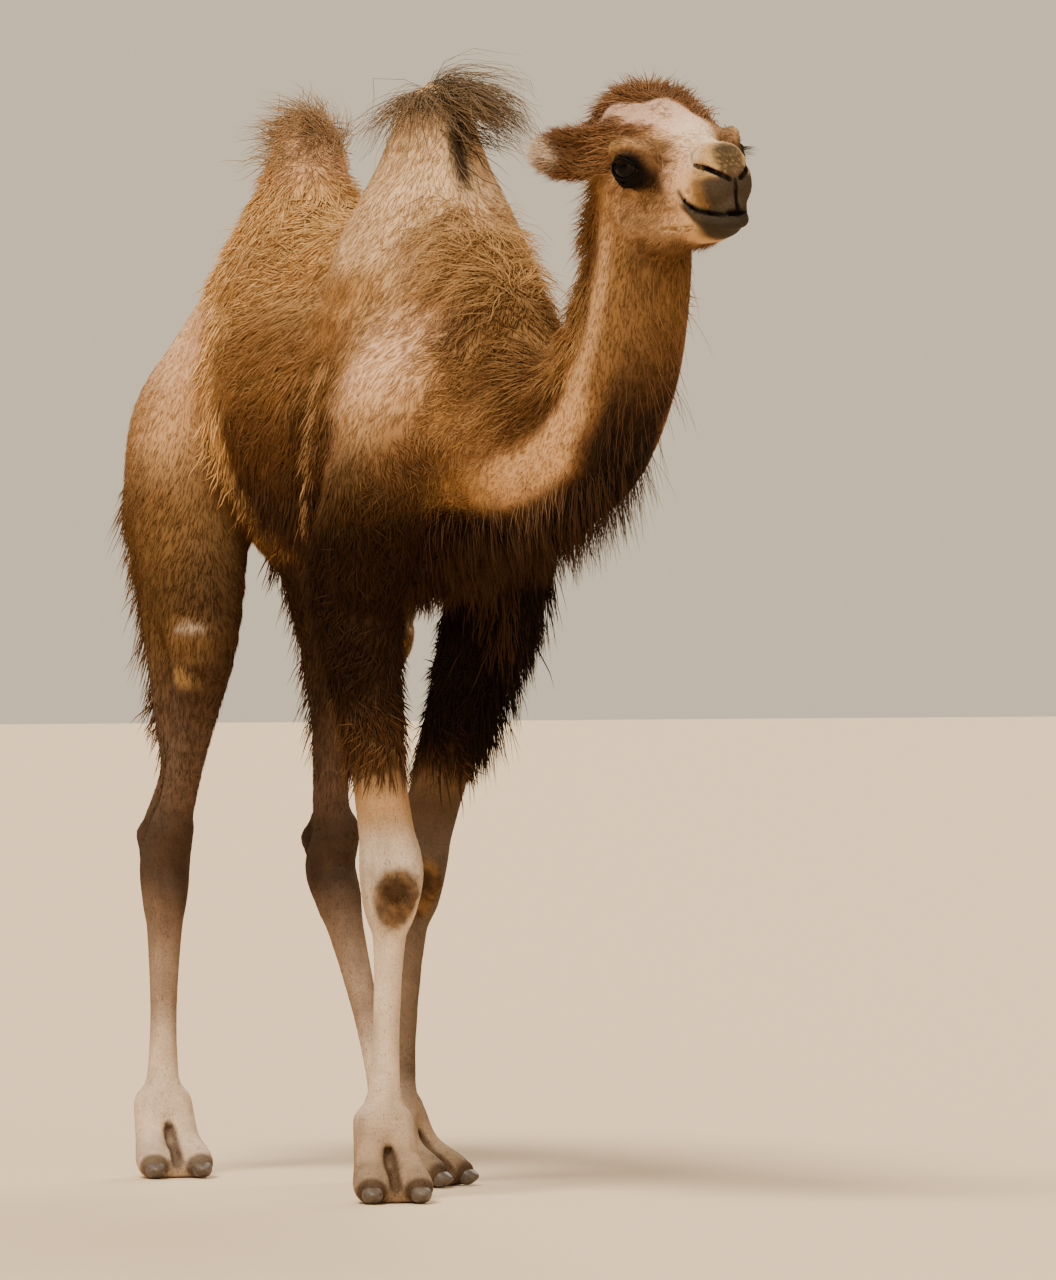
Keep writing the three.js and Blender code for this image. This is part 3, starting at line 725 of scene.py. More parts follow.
def trunk_colour(p):
    """Golden wool that darkens downwards, smooth shoulder and haunches, black under the chest, and painted rim
    light and shade.
    """
    height, back, side = p[:, 2], p[:, 1], np.abs(p[:, 0])
    flank = mirrored(p)
    lumps = noise(p, 110, 11) * 45
    wool = fade(DARK * 0.8, BROWN * 0.85, ramp(height + lumps, 960, 1110))
    wool = mix(wool, TAN * 0.86, ramp(height + lumps, 1100, 1210))
    wool = mix(wool, GOLD, ramp(height + lumps, 1240, 1350))
    # Lighter, golden wool along its edge: partly the wool's own colour, partly painted rim light.
    rim = fall(np.abs(past_wool(p) + 24), 14, 44) * fall(height, 1250, 1350)
    wool = mix(wool, fade(TAN, GOLD, ramp(height, 950, 1150)), 0.85 * rim)
    front = fall(back + 0.3 * lumps, -430, -350)
    wool = mix(wool, fade(BROWN * 1.2, TAN * 0.9, ramp(height + lumps, 1040, 1180)), front)
    wool = mix(wool, GREY_BEIGE * 0.95, 0.85 * front_band(p))
    wool = mix(wool, OLIVE * 0.8, 0.8 * spot(flank, (60, -640, 1230), (160, 80, 70), 0.6))
    wool = mix(wool, mix(TAN, GOLD, 0.5), 0.95 * fall(cord(flank) + 0.1 * lumps, 0, 11))
    # Painted shade on the wool beside the raised rope of shed wool.
    beside = ramp(cord(flank), 8, 16) * fall(cord(flank), 22, 44)
    wool = mix(wool, DARK, 0.6 * beside * ramp(back, -320, -290))
    wool = mix(wool, BROWN, 0.75 * fall(np.minimum(tuft_line(flank), 60) + 0.1 * lumps, -4, 8))
    haunch = fade(OLIVE, BEIGE, ramp(height + lumps, 980, 1120))
    haunch = mix(haunch, PINK, ramp(height + 0.6 * lumps, 1110, 1240) * ramp(side, 50, 100))
    haunch = mix(haunch, TAN, np.maximum(ramp(back, 380, 450), 0.8 * fall(side, 26, 60)))
    shade = ramp(past_wool(p), -10, 20) * fall(past_wool(p), 60, 140) * fall(height, 980, 1100)
    haunch = mix(haunch, DARK * 1.3, 0.8 * shade)
    colour = mix(haunch, wool, wool_share(p))
    level = height + 0.6 * lumps
    shoulder = fade(OLIVE * 1.3, BEIGE, ramp(level + 0.5 * (back + 480), 1000, 1100))
    shoulder = mix(shoulder, PINK * 0.96, ramp(level + 0.4 * (back + 480), 1080, 1180))
    colour = mix(colour, shoulder, 0.9 * shoulder_share(p))
    # Painted shade in the fold in front of the shoulder.
    colour = mix(colour, DARK * 1.2, 0.85 * fall(shoulder_crease_shade(flank) + 0.14 * lumps, -6, 20))
    level = height + 0.5 * lumps
    low = fall(level + 70 * (ramp(back, -470, -400) - 0.3), 920, 1060) * fall(back, -400, -300)
    colour = mix(colour, SOOT * 1.1, 0.9 * low)
    return mix(colour, DARK, 0.8 * fall(level, 890, 960))


def hump_colour(p):
    """A golden rear hump, and a greyer front one with a dark stripe up its front."""
    height = p[:, 2]
    front = front_share(p)
    lumps = noise(p, 80, 12) * 40
    rear = fade(GOLD, BEIGE * 1.1, ramp(height + lumps, 1420, 1500))
    rear = mix(rear, PINK, 0.6 * thin_patch(p))
    fore = fade(TAN, GREY_BEIGE, ramp(height + lumps, 1270, 1350))
    fore = mix(fore, TAN, 0.8 * fall(p[:, 1] + 0.3 * lumps, -520, -450))
    colour = mix(rear, fore, front)
    stripe = fall(np.abs(p[:, 0] + 1), 7, 20) * fall(p[:, 1], -420, -395) * ramp(height, 1400, 1450)
    return mix(colour, SOOT, 0.92 * front * stripe)


def neck_colour(p):
    """Brown wool behind, short beige hair on the sides, and nearly black under the throat, partly as painted
    shade.
    """
    share, _, under, _ = neck_way(p)
    under = under + 0.08 * noise(p, 60, 13)
    wool = fade(TAN, BROWN, ramp(noise(p, 70, 14), -0.3, 0.5))
    upper = ramp(share, 0.42, 0.6)
    # The smooth hair darker towards the under side: partly its own colour, partly painted shade.
    shaded = ramp(under, mix(0.62, 0.3, upper), mix(0.85, 0.5, upper))
    smooth = fade(BEIGE * mix(1.1, 0.85, upper)[:, None], OLIVE * 1.1, shaded)
    colour = mix(wool, smooth, ramp(under, 0.02, 0.24) * ramp(share, 0.2, 0.34))
    low = 1 - 0.85 * ramp(share, 0.5, 0.68)
    # Under the throat, darker to nearly black: partly darker hair, partly painted shade.
    colour = mix(colour, BROWN, ramp(under, 0.56, 0.7) * low)
    colour = mix(colour, DARK * 0.8, ramp(under, 0.64, 0.78) * low)
    return mix(colour, SOOT, ramp(under, 0.72, 0.86) * fall(share, 0.44, 0.6))


def shin_skin(colour, p):
    """Painted shade in faint hollows beside the tendons, and mottling, on the shins and feet."""
    mottled = 1 + 0.16 * noise(p, 36, 27) + 0.1 * noise(p, 11, 28)
    # painted shade of the hollows beside the tendons
    lines = 0.16 * ramp(noise(p * vec(1, 1, 0.12), 9, 29), 0.05, 0.5)
    low = fall(p[:, 2], 560, 660)
    return colour * (1 + low * (mottled * (1 - lines) - 1))[:, None]


def foot_shading(colour, p, leg):
    """Painted shade in the cleft between the toes and round the roots of the nails."""
    cleft = toe_cleft(leg)(p)
    colour = mix(colour, DARK * 1.3, 0.85 * fall(cleft, 0, 7))
    for sideways in (1, -1):
        nail = foot_point(leg, NAIL_SIZE["ahead"] - 4, sideways * NAIL_SIZE["apart"], NAIL_SIZE["height"] + 3)
        colour = mix(colour, DARK * 0.8, 0.8 * spot(p, nail, (24, 24, 20), 0.16))
    return colour


def fore_colour(p):
    """Pale shins under dark forearms, the left leg darker, and a creased pad on each knee."""
    height = p[:, 2] + 20 * noise(p, 70, 15)
    foot, shin = paint(150, 124, 98), paint(212, 188, 162)
    colour = fade(foot * 0.85, foot * 1.15, ramp(height, 30, 80))
    colour = layers(colour, height, (shin, 80, 170), (shin * 0.75, 380, 450), (BEIGE * 0.66, 480, 560),
                    (BROWN * 0.8, 560, 640), (DARK * 0.7, 630, 740), (OLIVE * 0.4, 930, 1030))
    left = p[:, 0] > 0
    brown = fade(SHIN * 0.56, SHIN * 0.28, ramp(height, 240, 500))
    colour = mix(colour, brown, 0.9 * left * ramp(height, 70, 170) * fall(height, 560, 640))
    colour = mix(colour, SOOT, 0.75 * left * ramp(height, 590, 670))
    for leg in FORE.values():
        x, y, z = leg["knee"]
        pad = spot(p, (x - 12, y - 46, z - 44), (35, 42, 50), 0.16)
        folds = 0.5 + 0.5 * np.sin(length(p - vec(x - 16, y - 50, z - 12)) / 7.5 * 2 * math.pi + noise(p, 20, 5))
        colour = mix(colour, fade(OLIVE * 0.9, DARK * 0.8, 0.8 * folds), 0.92 * pad)
        colour = mix(colour, DARK * 0.8, 0.9 * spot(p, (x - 16, y - 50, z - 28), (19, 36, 19), 0.35))
        colour = foot_shading(colour, p, leg)
    return shin_skin(colour, p)


STIFLE_FOLD = [(172, 128, 800, 3), (176, 118, 760, 4), (172, 92, 735, 4), (160, 74, 742, 3)]
# the fold under each stifle's lump, along which shade is painted
stifle_crease_shade = {side: chain([(s * x, *rest) for x, *rest in STIFLE_FOLD]) for side, s in SIDES.items()}


def hind_colour(p):
    """Beige thighs over darker shins and pale feet, with a brown fringe behind, and painted belly shadow on the
    thighs.
    """
    height, back = p[:, 2] + 22 * noise(p, 80, 16), p[:, 1]
    foot, shin = paint(208, 182, 154), paint(148, 122, 100)
    colour = fade(foot * 0.85, foot, ramp(height, 30, 100))
    colour = layers(colour, height, (shin, 150, 260), (SHIN * 0.7, 290, 420), (SHIN * 0.34, 380, 450),
                    (SHIN * 0.72, 500, 600), (OLIVE * 0.62, 640, 800), (OLIVE * 0.9, 820, 960),
                    (BEIGE, 980, 1110))
    fringe = ramp(back - 0.55 * (850 - p[:, 2]) * (p[:, 2] < 850), 300, 390) * ramp(height, 520, 600)
    colour = mix(colour, BROWN * 0.8, 0.85 * fringe)
    # Painted shadow of the belly on the inner and front faces of the thighs.
    inner = np.maximum(fall(np.abs(p[:, 0]), 60, 120), 0.8 * fall(back + 0.2 * (p[:, 2] - 800), 80, 200))
    colour = mix(colour, DARK, 0.85 * inner * ramp(p[:, 2], 560, 720) * fall(p[:, 2], 1020, 1110))
    for side, leg in HIND.items():
        s = SIDES[side]
        colour = spots(colour, p, (TAN * 0.8, 0.4, (s * 176, 118, 790), (56, 46, 36), 0.5),
                       (GOLD * 0.85, 0.6, (s * 172, 128, 736), (36, 30, 13), 0.5),
                       (PALE * 0.7, 0.6, (s * 176, 100, 806), (30, 24, 9), 0.4))
        # Painted shade in the fold under the stifle.
        colour = mix(colour, DARK * 0.8, 0.85 * fall(stifle_crease_shade[side](p), 1, 9))
        colour = foot_shading(colour, p, leg)
    return shin_skin(colour, p)


def bald_patch(q):
    """1 on the pale, thinly haired patch of the forehead, which lies to the right of the middle."""
    forward, side, up = q[:, 0], q[:, 1], q[:, 2]
    wobble = 4 * noise(q, 18, 64)
    back = np.interp(side, (-84, -62, -39, -19, 13, 30), (-112, -90, -58, -30, -6, 14))
    near = np.interp(forward, (-110, -98, -60, -27, 10, 41, 70), (-78, -76, -68, -60, -48, -32, -26))
    wobble = wobble + 5 * noise(q * vec(0.3, 1, 1), 7, 67)
    far = np.interp(forward, (-20, 10, 40), (12, 16, 34))
    return ramp(forward - back + wobble, -7, 7) * ramp(side - near + wobble, -9, 9) \
        * fall(side - far + wobble, -4, 5) * fall(forward, 44, 70) * ramp(up, 30, 40)


def crown_share(q):
    """1 in the long hair of the poll, which runs down each temple round the bald patch."""
    forward, side, up = q[:, 0], q[:, 1], q[:, 2]
    high = ramp(up + 0.15 * np.abs(side), 50, 62)
    ends = fall(forward + 0.35 * np.abs(side), 30, 50)
    return high * ends * (1 - bald_patch(q))


def head_colour(p):
    """A tan face, browner over the poll, with dark eyes, a speckled muzzle and dark lips, and painted shade
    round the eyes, under the jaw and in the creases.
    """
    q = in_head(p)
    bare, crown = bald_patch(q), crown_share(q)
    forward, side, up = q[:, 0], np.abs(q[:, 1]), q[:, 2]
    q = mirrored(q, 1)
    lumps, specks = noise(q, 26, 17), noise(q, 5, 19)
    streaks = noise(q * vec(0.45, 1, 1), 9, 20)
    colour = fade(TAN, BEIGE, ramp(forward + 10 * lumps, -110, -50))
    colour = spots(colour, q, (PINK * 0.82, 0.85, (44, 44, -24), (40, 34, 50), 0.6),
                   (PINK * 0.62, 0.7, (-20, 54, -66), (56, 40, 22), 0.6))
    colour = mix(colour, OLIVE, 0.7 * ramp(lumps + streaks, 0.0, 0.8) * fall(forward, 30, 60) * fall(up, 20, 40))
    colour = mix(colour, OLIVE * 0.8, 0.8 * spot(q, (6, 72, -42), (42, 30, 20), 0.6))
    # Browner under the jaw: partly the hair's own colour, partly painted shade.
    colour = mix(colour, BROWN, 0.85 * ramp(-up + 6 * lumps, 100, 124) * fall(forward, 30, 70))
    colour = mix(colour, CROWN, ramp(up + 7 * lumps, 22, 40) * fall(forward + 10 * lumps, 0, 40))
    colour = mix(colour, FOREHEAD * mix(0.66, 0.9, ramp(forward, -60, 20))[:, None], bare)
    whorl = spot(in_head(p), (-2, -20, 76), (26, 16, 26), 0.6)
    whorl = whorl * ramp(noise(q * vec(0.4, 1, 1), 4, 68), -0.1, 0.4)
    colour = mix(colour, CROWN * 0.45, 0.7 * whorl)
    colour = spots(colour, q, (CREAM, 0.8, (54, 0, 32), (46, 34, 34), 0.5),
                   (CREAM * 0.8, 0.7, (84, 36, 2), (22, 18, 16), 0.5))
    colour = mix(colour, CROWN * 0.8, 0.9 * crown)
    # The dark round the eye: partly the black skin of the lids, partly painted shadow under the brow.
    colour = spots(colour, q, (BROWN * 0.75, 0.85, (26, 70, 8), (30, 34, 24), 0.6),
                   (MUZZLE * 0.9, 0.9, (-34, 80, 32), (40, 26, 11), 0.4),
                   (SOOT * 0.4, 1, (-4, 86, -6), (40, 34, 30), 0.25),
                   (SOOT * 0.5, 0.9, (20, 76, -22), (22, 26, 18), 0.5))
    muzzle = ramp(forward + 8 * lumps + 0.3 * (-up - 30), 76, 98)
    colour = mix(colour, MUZZLE, muzzle)
    fine = 0.3 * specks + 0.35 * noise(q * vec(0.5, 1, 1), 2.6, 26)
    dome = ramp(forward + 0.3 * up - 0.25 * side, 94, 118)
    dome = dome * (1 - 0.7 * ramp(side, 14, 34))
    colour = mix(colour, NOSE * 1.1, 0.9 * dome * ramp(fine + 0.95 * dome, 0, 1) * (1 - 0.4 * ramp(up, 14, 24)))
    under_nose = ramp(forward - 0.2 * side, 62, 92) * fall(up, -34, -22)
    colour = mix(colour, OLIVE * 0.72, 0.8 * under_nose * ramp(fine + 1.1 * under_nose, -0.1, 0.7))
    under_nose = ramp(forward - 0.4 * side, 80, 104) * fall(up, -36, -24)
    colour = mix(colour, LIP * 0.9, 0.92 * under_nose * ramp(fine + 1.1 * under_nose, -0.1, 0.6))
    lips = fall(np.minimum(mouth(q) + 1, lower_lip(q) + 1), 2, 9)
    colour = mix(colour, LIP * 0.75, 0.95 * lips)
    colour = mix(colour, LIP * 0.7, 0.95 * spot(q, (104, 0, -98), (42, 42, 20), 0.3))
    colour = mix(colour, LIP * 1.8, 0.7 * fall(nostril_sill(q), -0.5, 2))
    # Painted shade in the nostrils, the line of the mouth, the philtrum and the folds of nose and cheek.
    crease = fall(np.minimum(nostril(q) - 0.2, np.minimum(mouth(q) - 0.8, philtrum(q))), 0.2, 1.8)
    crease = np.maximum(crease, 0.4 * fall(nose_crease(q), 0, 2))
    crease = np.maximum(crease, 0.3 * fall(cheek_fold(q), -1, 3))
    return mix(colour, SOOT * 0.4, crease)


def ear_colour(p):
    """Brown, with a cream rim and tip and a darker cup."""
    q = in_head(p)
    rows = {side: vec(*EAR_LINES[side][-1][:3]) for side in SIDES}
    tip = np.minimum(length(q - rows["left"]), length(q - rows["right"])) + 9 * noise(p, 22, 18)
    colour = fade(CREAM, CROWN * 0.9, ramp(tip, 10, 34))
    hollow = np.minimum(ear_hollows["left"](q), ear_hollows["right"](q))
    return mix(colour, BROWN * 0.8, 0.7 * fall(hollow, 0, 5) * ramp(tip, 8, 30))


# ---------------------------------------------------------------- the lie, length and density of the coat
def blank(p, lie, long, wide, lift, wave, clump, wool, short):
    """The coat's numbers at points p: lie (a direction), lock length and width in millimetres, lift in
    degrees, wave and clumping from 0 to 1, and locks of wool and of short hair per square centimetre."""
    rows = {"long": long, "wide": wide, "lift": lift, "wave": wave, "clump": clump, "wool": wool, "short": short}
    out = {key: np.zeros(len(p), np.float32) + value for key, value in rows.items()}
    out["lie"] = np.broadcast_to(np.asarray(lie, np.float32), p.shape)
    return out


def trunk_coat(p):
    wool, patch = wool_share(p), shoulder_share(p)
    front = fall(p[:, 1], -500, -410)
    top = ramp(p[:, 2], 1180, 1400)
    lie = fade(vec(0, 0.5, -0.87), vec(0, 0.86, -0.5), top)
    lie = mix(lie, vec(0, 0.25, -1), 1 - wool)
    lie = mix(lie, vec(0, 0.35, -0.95), front)
    woolly = wool * (1 - np.maximum(0.95 * patch, 0.75 * front_band(p)))
    ridge = (1 - wool) * np.maximum(fall(np.abs(p[:, 0]), 24, 50), 0.7 * ramp(p[:, 1], 370, 430))
    woolly = np.maximum(woolly, 0.7 * ridge)
    long = mix(11, mix(46 - 6 * top, 26, front), woolly)
    low = fall(p[:, 2], 930, 1010) * wool * (1 - front)
    wide, lift = mix(1.8, mix(2.4, 2.2, front), woolly), mix(6, mix(23, 26, front), woolly)
    wave, locks = mix(0.15, mix(0.8, 1.2, front), woolly), ramp(woolly, 0.2, 0.5)
    return blank(p, unit(lie), long + 22 * low, wide, lift, wave, mix(0.1, 0.5, woolly), mix(0, 4.6, locks),
                 mix(4.7, 0, locks))


def hump_coat(p):
    front = front_share(p)
    lie = unit(fade(vec(0, 0.45, -0.9), vec(0, 0.3, -0.95), front))
    bare = thin_patch(p)
    return blank(p, lie, mix(38, 14, front) - 18 * bare, mix(2.3, 1.7, front), mix(22, 9, front),
                 mix(0.8, 0.4, front), mix(0.45, 0.15, front), mix(4.5, 1, front) * (1 - bare),
                 mix(0, 5.1, front) + 5 * bare)


def neck_coat(p):
    share, way, under, _ = neck_way(p)
    woolly = np.maximum(fall(under, -0.06, 0.2), fall(share, 0.14, 0.3))
    lie = unit(-way + vec(0, 0, -0.9))
    nape = ramp(-under, -0.1, 0.4) * ramp(share, 0.3, 0.5)
    return blank(p, lie, mix(10, 28 + 18 * nape, woolly), mix(1.5, 2.0, woolly), mix(8, 25 + 14 * nape, woolly),
                 mix(0.2, 1.1, woolly), mix(0.1, 0.4, woolly), 4.4 * woolly, 5.6 * (1 - woolly))


def fore_coat(p):
    high = ramp(p[:, 2] + 40 * noise(p, 34, 27), 580, 650)
    return blank(p, (0, 0.12, -1), mix(5, 40, high), mix(1.2, 2.3, high), mix(5, 19, high), mix(0.1, 0.8, high),
                 mix(0.1, 0.6, high), 4.0 * high, 4.6 * (1 - high))


def hind_coat(p):
    high = ramp(p[:, 2], 480, 640)
    shaggy = ramp(p[:, 1] - 0.4 * (900 - p[:, 2]) * (p[:, 2] < 900), 215, 320) * high
    lie = unit(vec(0, 0.2, -1) + shaggy[:, None] * vec(0, 0.3, 0))
    wide, lift = mix(mix(1.2, 1.7, high), 2.3, shaggy), mix(mix(5, 10, high), 22, shaggy)
    return blank(p, lie, mix(5, 13, high) + 22 * shaggy, wide, lift, mix(0.1, 0.7, shaggy),
                 mix(0.1, 0.6, shaggy), 4.0 * shaggy, 4.9 * (1 - shaggy))


def tail_coat(p):
    return blank(p, (0, 0.1, -1), 46, 3.0, 18, 0.6, 0.6, 6, 0)


def head_coat(p):
    q = in_head(p)
    bald, crown = bald_patch(q), crown_share(q)
    forward, up = q[:, 0], q[:, 2]
    crown = crown * (1 - 0.6 * ramp(forward, -70, -20))
    q = mirrored(q, 1)
    face = ramp(forward - 0.4 * up, 30, 90)
    throat = ramp(-up, 84, 112) * fall(forward, 20, 60)
    flip = np.sign(in_head(p)[:, 1])
    lie = np.stack([-1 + 0 * forward, 0.1 * flip, -0.55 + 0 * up], 1)
    lie = mix(lie, np.stack([-0.8 + 0 * forward, 0.7 * flip, 0.35 + 0 * up], 1), ramp(up, 20, 60))
    eye = spot(q, (0, 84, -2), (32, 32, 26), 0.3)
    bare = np.maximum(spot(q, (122, 10, -30), (22, 22, 34), 0.3), fall(np.minimum(mouth(q), lower_lip(q)), 0, 4))
    bare = np.maximum(bare, fall(nostril(q), 0, 4))
    long = mix(8, 3.0, np.maximum(face, 0.8 * bald)) + 26 * crown + 16 * throat
    lift = mix(12, 9, np.maximum(face, bald)) + 26 * crown + 12 * throat
    return blank(p, unit(lie) @ HEAD_AXES, long, mix(1.2, 0.8, face) + 1.0 * crown, lift,
                 0.25 + 0.7 * crown, 0.1 + 0.3 * crown,
                 8 * crown, (mix(14, 24, face) - 7 * crown) * (1 - bare) * (1 - eye) * (1 - 0.6 * bald))


def ear_coat(p):
    right = in_head(p)[:, 1] < 0
    lie = np.where(right[:, None], ear_run("right") @ HEAD_AXES, ear_run("left") @ HEAD_AXES)
    return blank(p, lie, 22, 1.7, 26, 0.6, 0.2, 0, 22)


PARTS = {                           # each part's colour and coat
    "trunk": (trunk_colour, trunk_coat),
    "hump_front": (hump_colour, hump_coat), "hump_rear": (hump_colour, hump_coat),
    "neck": (neck_colour, neck_coat),
    "fore_left": (fore_colour, fore_coat), "fore_right": (fore_colour, fore_coat),
    "hind_left": (hind_colour, hind_coat), "hind_right": (hind_colour, hind_coat),
    "tail": (lambda p: everywhere(DARK, p), tail_coat), "head": (head_colour, head_coat),
    "ear_left": (ear_colour, ear_coat), "ear_right": (ear_colour, ear_coat),
}


def coat_numbers(p):
    """Every number of the coat at points p, blended where the body's parts meet, with its colour."""
    distances = {name: form(p) for name, form in GROUPS.items()}
    nearest = np.minimum.reduce(list(distances.values()))
    total, out = np.zeros(len(p), np.float32), {}
    for name, (colour_of, coat_of) in PARTS.items():
        soft = 5 if name.startswith("ear") else 14
        weight = np.exp(-np.clip(distances[name] - nearest, 0, 200) / soft)
        close = weight > 0.02
        if not close.any():
            continue
        q, w = p[close], weight[close]
        rows = {**coat_of(q), "colour": colour_of(q)}
        for key, value in rows.items():
            if key not in out:
                out[key] = np.zeros((len(p), *value.shape[1:]), np.float32)
            out[key][close] += value * (w[:, None] if value.ndim > 1 else w)
        total[close] += w
    for key, value in out.items():
        out[key] = value / (total[:, None] if value.ndim > 1 else total)
    return out


# ---------------------------------------------------------------- into the frame's metres
def frame_shift():
    """How far the solids were moved when they were packed, from where one eye is."""
    low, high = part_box("eye_left")
    return (np.array(low, np.float32) + np.array(high, np.float32)) * 500 - vec(*on_head(*EYE_PLACE))


SHIFT = frame_shift()


def to_frame(p):
    return (np.asarray(p, np.float32) + SHIFT) * 0.001


def new_mesh(name, points, faces, corners):
    """A mesh from points, the corners of all its faces in one row, and each face's number of corners."""
    me = bpy.data.meshes.new(name)
    me.vertices.add(len(points))
    me.vertices.foreach_set("co", points.ravel())
    me.loops.add(len(faces))
    me.loops.foreach_set("vertex_index", np.asarray(faces, np.int32))
    starts = np.concatenate([[0], np.cumsum(corners)[:-1]]).astype(np.int32)
    me.polygons.add(len(corners))
    me.polygons.foreach_set("loop_start", starts)
    me.update(calc_edges=True)
    return me


def new_piece(name, points, faces, corners, material):
    """A smooth-shaded mesh object from points in the camel's own millimetres, with its material and slot."""
    me = new_mesh(name, to_frame(points), faces, corners)
    me.polygons.foreach_set("use_smooth", np.ones(len(corners), bool))
    me.materials.append(material)
    piece = bpy.data.objects.new(name, me)
    bpy.context.scene.collection.objects.link(piece)
    return piece


def write_colours(me, colours):
    """The marking on each point of a mesh."""
    layer = me.color_attributes.new("Marking", "FLOAT_COLOR", "POINT")
    rows = np.ones((len(colours), 4), np.float32)
    rows[:, :3] = np.clip(colours, 0, 1)
    layer.data.foreach_set("color", rows.ravel())


# ---------------------------------------------------------------- making the skin
def refined(points, quads, zones):
    """The skin's points and faces, with the faces inside each zone cut in four, zone by zone."""
    me = new_mesh("Refining", points, quads.ravel(), np.full(len(quads), 4))
    mesh = bmesh.new()
    mesh.from_mesh(me)
    for zone in zones:
        at = np.array([v.co for v in mesh.verts], np.float32)
        inside = zone(at)
        mesh.verts.index_update()
        edges = [e for e in mesh.edges if inside[e.verts[0].index] and inside[e.verts[1].index]]
        bmesh.ops.subdivide_edges(mesh, edges=edges, cuts=1, use_grid_fill=True)
    mesh.to_mesh(me)
    mesh.free()
    at = np.empty(len(me.vertices) * 3, np.float32)
    me.vertices.foreach_get("co", at)
    faces = np.empty(len(me.loops), np.int32)
    me.loops.foreach_get("vertex_index", faces)
    corners = np.empty(len(me.polygons), np.int32)
    me.polygons.foreach_get("loop_total", corners)
    bpy.data.meshes.remove(me)
    return at.reshape(-1, 3), faces, corners


def head_zone(p):
    q = in_head(p)
    return (np.abs(q - vec(-12, 0, 5)) < vec(170, 172, 140)).all(1) & (p[:, 1] < -860)


def foot_zone(p):
    return p[:, 2] < 95


def face_zone(p):
    q = np.abs(in_head(p) - vec(48, 0, -22))
    return (q < vec(92, 112, 88)).all(1)


def eye_zone(p):
    q = mirrored(in_head(p), 1)
    return length((q - vec(0, 86, 4)) / vec(34, 34, 26)) < 1


def make_skin(voxel):
    """The skin's points and faces, finer on the head and feet and finest round the eyes."""
    points, quads = surface_mesh(skin_form, vec(-260, -1240, -4 * voxel), vec(260, 600, 1700), voxel)
    points = settle(skin_form, points, 1)
    points, faces, corners = refined(points, quads, [lambda p: head_zone(p) | foot_zone(p), face_zone, eye_zone])
    close = head_zone(points) | (points[:, 2] < 560)
    points[close] = settle(skin_form, points[close], 3)
    return points, faces, corners


def unwrap(piece):
    """The skin's own unwrap, which the coat's roots are placed on too."""
    bpy.ops.object.select_all(action="DESELECT")
    piece.select_set(True)
    bpy.context.view_layer.objects.active = piece
    piece.data.uv_layers.new(name="OFBake")
    bpy.ops.object.mode_set(mode="EDIT")
    bpy.ops.mesh.select_all(action="SELECT")
    bpy.ops.uv.smart_project(angle_limit=1.15, island_margin=0.002)
    bpy.ops.object.mode_set(mode="OBJECT")


# ---------------------------------------------------------------- locks of hair
def read_skin():
    """The skin's triangles as arrays: corners in millimetres, normals, and unwrap."""
    me = bpy.data.objects["Skin"].data
    me.calc_loop_triangles()
    count = len(me.loop_triangles)
    verts, loops = np.empty(count * 3, np.int32), np.empty(count * 3, np.int32)
    me.loop_triangles.foreach_get("vertices", verts)
    me.loop_triangles.foreach_get("loops", loops)
    at, normals = np.empty(len(me.vertices) * 3, np.float32), np.empty(len(me.vertices) * 3, np.float32)
    me.vertices.foreach_get("co", at)
    me.vertices.foreach_get("normal", normals)
    flat = np.empty(len(me.loops) * 2, np.float32)
    me.uv_layers["OFBake"].data.foreach_get("uv", flat)
    return {"verts": verts.reshape(-1, 3), "at": at.reshape(-1, 3) * 1000 - SHIFT,
            "normals": normals.reshape(-1, 3), "uv": flat.reshape(-1, 2)[loops.reshape(-1, 3)]}


def scatter(skin, density, rng):
    """Roots on the skin, as many per square centimetre as density says at each of its points."""
    corners = skin["at"][skin["verts"]]
    twice = length(np.cross(corners[:, 1] - corners[:, 0], corners[:, 2] - corners[:, 0]))
    area = twice / 200                                     # square centimetres
    wanted = area * density[skin["verts"]].mean(1)
    count = rng.poisson(wanted)
    chosen = np.repeat(np.arange(len(wanted)), count)
    a, b = rng.random(len(chosen), np.float32), rng.random(len(chosen), np.float32)
    over = a + b > 1
    a, b = np.where(over, 1 - a, a), np.where(over, 1 - b, b)
    share = np.stack([1 - a - b, a, b], 1)
    verts = skin["verts"][chosen]

    def read(values):
        rows = values[verts]
        return (rows * (share[:, :, None] if rows.ndim == 3 else share)).sum(1)
    uv = (skin["uv"][chosen] * share[:, :, None]).sum(1)
    return read, uv


def turned(v, about, angle):
    """v turned about a unit vector that is square to it."""
    return v * np.cos(angle)[:, None] + np.cross(about, v) * np.sin(angle)[:, None]


def clumped(roots, size, seed):
    """From each root, the way to the middle of its clump."""
    q = roots / size + 0.8 * np.stack([noise(roots, size * 1.7, seed + k) for k in range(3)], 1)
    cell = np.floor(q).astype(np.int64)
    _, which = np.unique(cell[:, 0] * 92821 + cell[:, 1] * 689287 + cell[:, 2] * 283923, return_inverse=True)
    which = which.ravel()
    count = np.bincount(which)
    middle = np.stack([np.bincount(which, roots[:, k]) / count for k in range(3)], 1)[which]
    return (middle - roots).astype(np.float32), which


# the width of each kind of lock from its root to its tip, as shares of the full width
SHAPES = {"short": [1.0, 0.0], "wool": [0.8, 1.0, 0.0], "long": [0.7, 1.0, 0.9, 0.6, 0.0]}
# spread of the lengths, size of a clump, mottling, depth of the root under the skin, bend and crimp at each
# step, the farthest a lock may reach to the sides and upwards, and the brightness of its root and tip
LOCK_SETTINGS = {"vary": 0.22, "cell": 17.0, "fleck": 1.0, "sink": 1.5, "bend": 0.35, "crimp": 0.3,
                 "reach": 1e4, "top": 1e4, "root_tone": 0.8, "tip_tone": 1.16}


PATCH = 0.003                       # a lock's share of the bake's map
LOCK_FLOOR = 0.8                    # the lowest that the middle of a lock may lie
MOST_TRIANGLES = 190000             # in one piece of coat


